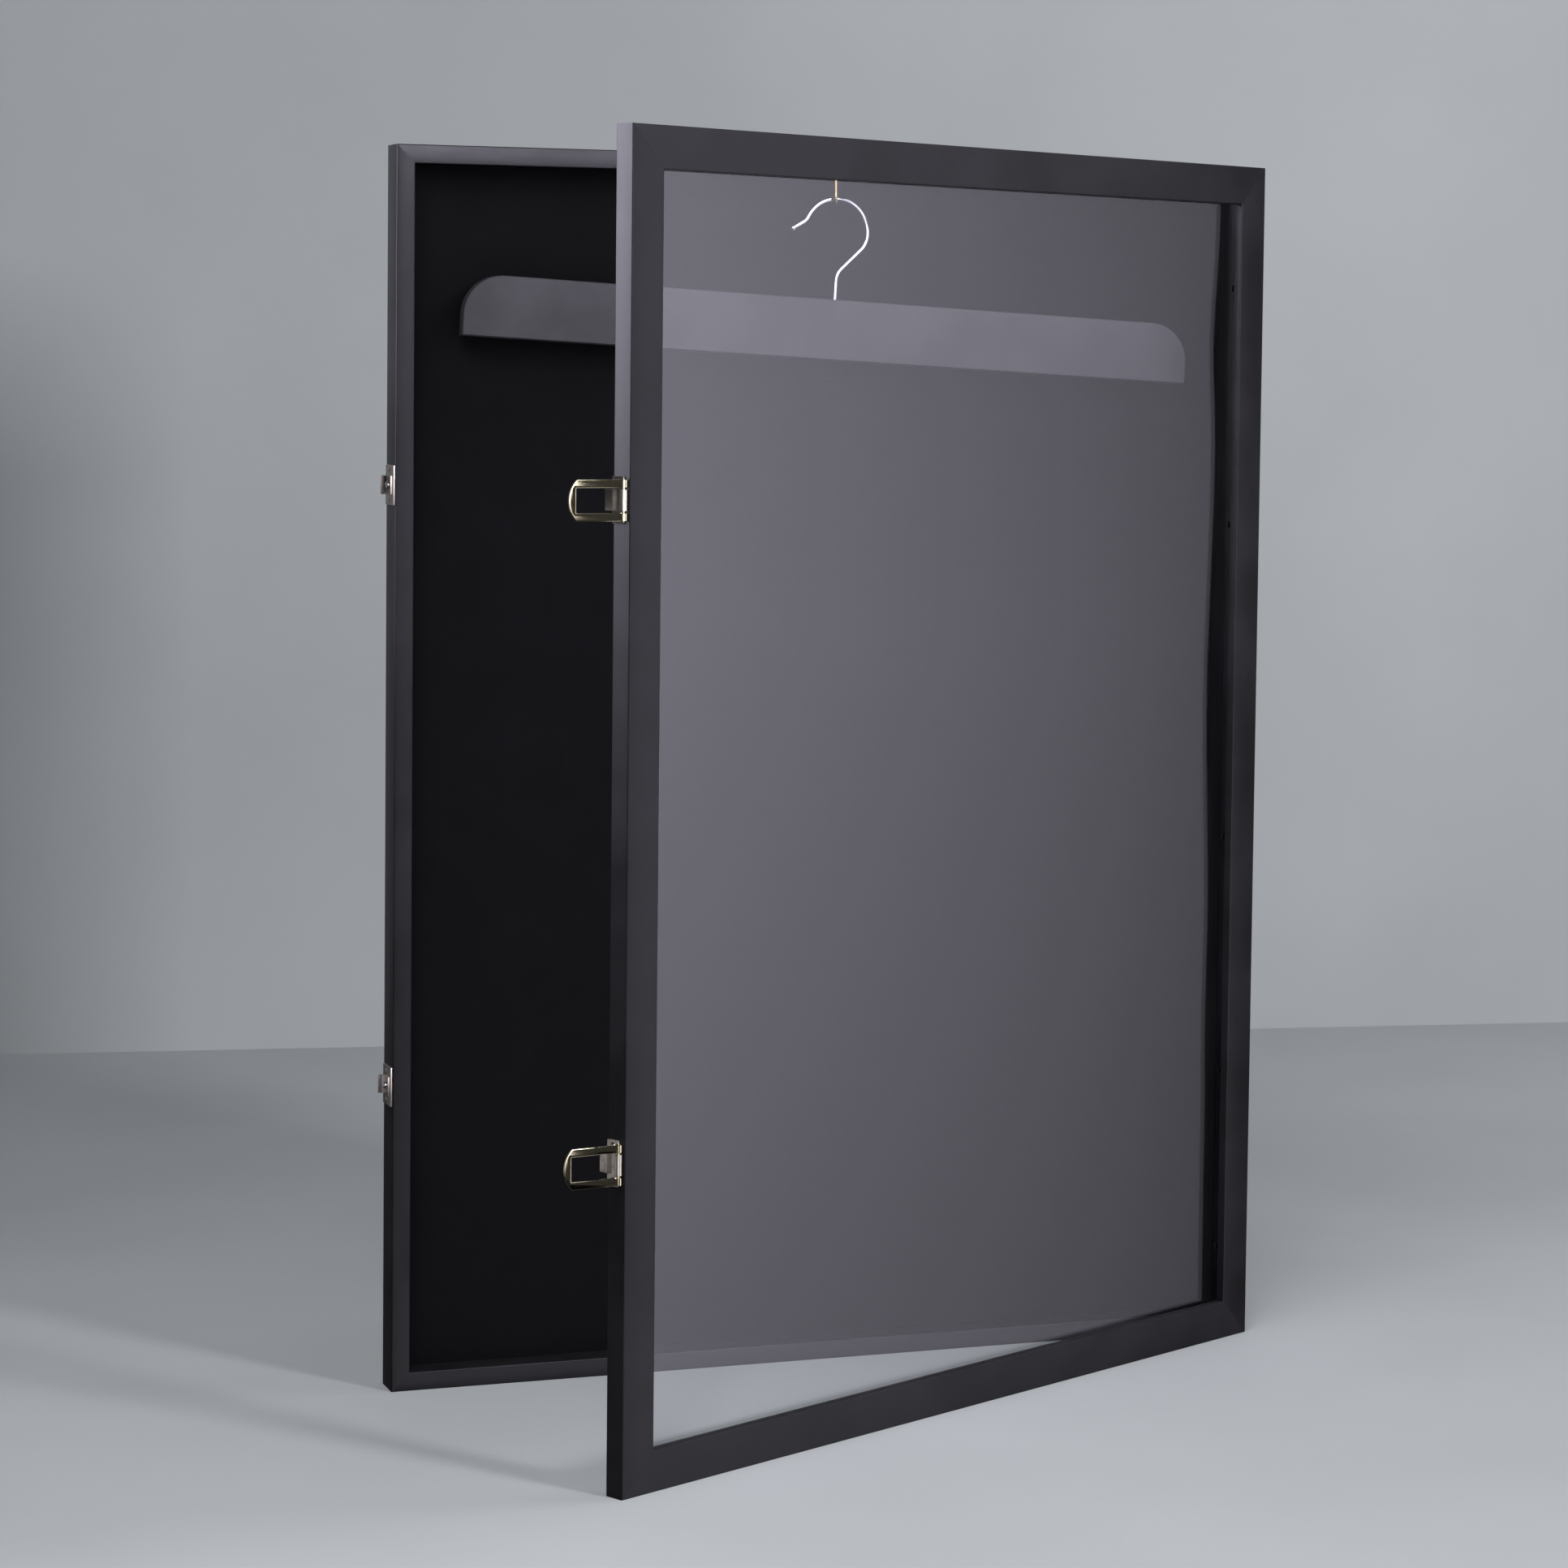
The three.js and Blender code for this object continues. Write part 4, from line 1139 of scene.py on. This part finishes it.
def area_light(name, place, aim, size, power, colour=(1, 1, 1)):
    data = bpy.data.lights.new(name, "AREA")
    data.shape, data.size, data.size_y = "RECTANGLE", *size
    data.energy, data.color = power, colour
    made = linked(name, data)
    made.location = place
    made.rotation_euler = (Vector(aim) - Vector(place)).to_track_quat("-Z", "Y").to_euler()
    made.visible_glossy = False
    return made


CARD_COLOUR = (0.96, 0.925, 1.10, 1)
FRONT_CARDS = -3.2
SIDE_CARD_END = -0.147  # the clear sheet's right edge mirrors past this, into the dark


def card(name, corners, *ramps):
    """A reflector seen only in gloss. A ramp is an axis and two (place, glow) pairs; ramps multiply."""
    s = Shader(name)
    place = s.node("SeparateXYZ", {"Vector": s.node("NewGeometry").outputs["Position"]})
    glow = 1.0
    for axis, (start, dim), (end, bright) in ramps:
        glow = s.maths("MULTIPLY", glow, s.spread(place.outputs[axis], start, end, dim, bright))
    material = s.surface(s.node("Emission", {"Color": CARD_COLOUR, "Strength": glow}).outputs[0])
    made = stage_plane(name, corners, material)
    made.visible_camera = made.visible_diffuse = made.visible_shadow = made.visible_transmission = False
    return made


def side_on(x, y_range, z_range):
    (y0, y1), (z0, z1) = y_range, z_range
    return [(x, y0, z0), (x, y1, z0), (x, y1, z1), (x, y0, z1)]


def front_on(y, x_range, z_range):
    (x0, x1), (z0, z1) = x_range, z_range
    return [(x0, y, z0), (x1, y, z0), (x1, y, z1), (x0, y, z1)]


def world():
    made = bpy.data.worlds.new("studio")
    made.use_nodes = True
    nodes, links = made.node_tree.nodes, made.node_tree.links
    background = nodes["Background"]
    seen = nodes.new("ShaderNodeLightPath")
    shades = {"Is Diffuse Ray": (0.11, 0.112, 0.117, 1), "Is Camera Ray": (0.36, 0.38, 0.41, 1)}
    colour = None
    for ray, shade in shades.items():
        mix = nodes.new("ShaderNodeMix")
        mix.data_type = "RGBA"
        mix.inputs[6].default_value = (0.03, 0.031, 0.035, 1)
        mix.inputs[7].default_value = shade
        if colour:
            links.new(colour, mix.inputs[6])
        links.new(seen.outputs[ray], mix.inputs[0])
        colour = mix.outputs[2]
    links.new(colour, background.inputs["Color"])
    bpy.context.scene.world = made


def reach(receivers, *sources):
    for source in sources:
        source.light_linking.receiver_collection = receivers


def lights():
    key = area_light("key_light", (2.6, -2.2, 2.2), (0, 0, 0.45), (1.6, 1.6), 70, (1.0, 0.99, 0.98))
    area_light("top_left_light", (-0.9, -1.0, 1.9), (-0.1, 0, 0.6), (0.8, 0.8), 16, (0.97, 0.98, 1.0))
    area_light("wall_light", (2.4, -0.4, 3.0), (2.4, 1.0, 0.8), (2.4, 1.2), 45, (0.98, 0.99, 1.0))
    back_light = area_light("back_light", (-1.1, 1.1, 1.6), (0, 0, 0.4), (0.7, 0.7), 14)
    back_light.visible_camera = False
    reach(pieces_only, key, back_light)
    backdrop = area_light("backdrop_light", (1.55, -2.75, 1.1), (0, 0.6, 0.4), (0.45, 0.45), 98)
    floor_light = area_light("floor_light", (-1.0, -2.0, 1.3), (-0.5, -0.8, 0), (0.5, 0.5), 5)
    floor_light.data.spread = math.radians(60)
    reach(stage_only, backdrop, floor_light)
    side = side_on(0.80, (-1.05, SIDE_CARD_END), (-1.6, 1.8))
    card("side_card", side, ("Y", (0.12, 0.0), (-0.9, 2.5)), ("Z", (-0.15, 0.68), (0.45, 1.0)))
    rising = ("Z", (-0.6, 0.0), (1.0, 5.0))
    front = front_on(FRONT_CARDS, (-0.1, 1.3), (-0.62, 2.6))
    card("front_card", front, rising, ("Z", (0.8, 0.75), (1.1, 3.0)))
    plated_front = card("plated_front_card", front_on(FRONT_CARDS, (-1.7, -0.1), (-0.62, 2.6)), rising)
    below = front_on(FRONT_CARDS, (-0.4, 2.2), (-1.2, -0.68))
    low = card("low_card", below, ("Z", (-0.68, 0.0), (-0.8, 4.5)))
    left = card("left_card", side_on(-1.15, (-0.35, 0.5), (0.35, 2.2)), ("Z", (0.4, 0.0), (1.0, 18.0)))
    reach(painted_only, low, left)
    fill_side = side_on(-1.8, (-0.6, 2.4), (-0.6, 2.2))
    fill = card("left_fill_card", fill_side, ("Z", (-0.6, 0.26), (2.2, 0.34)))
    reach(plated_only, plated_front, fill)


room()
world()
lights()
bpy.context.scene.view_settings.view_transform = "Standard"
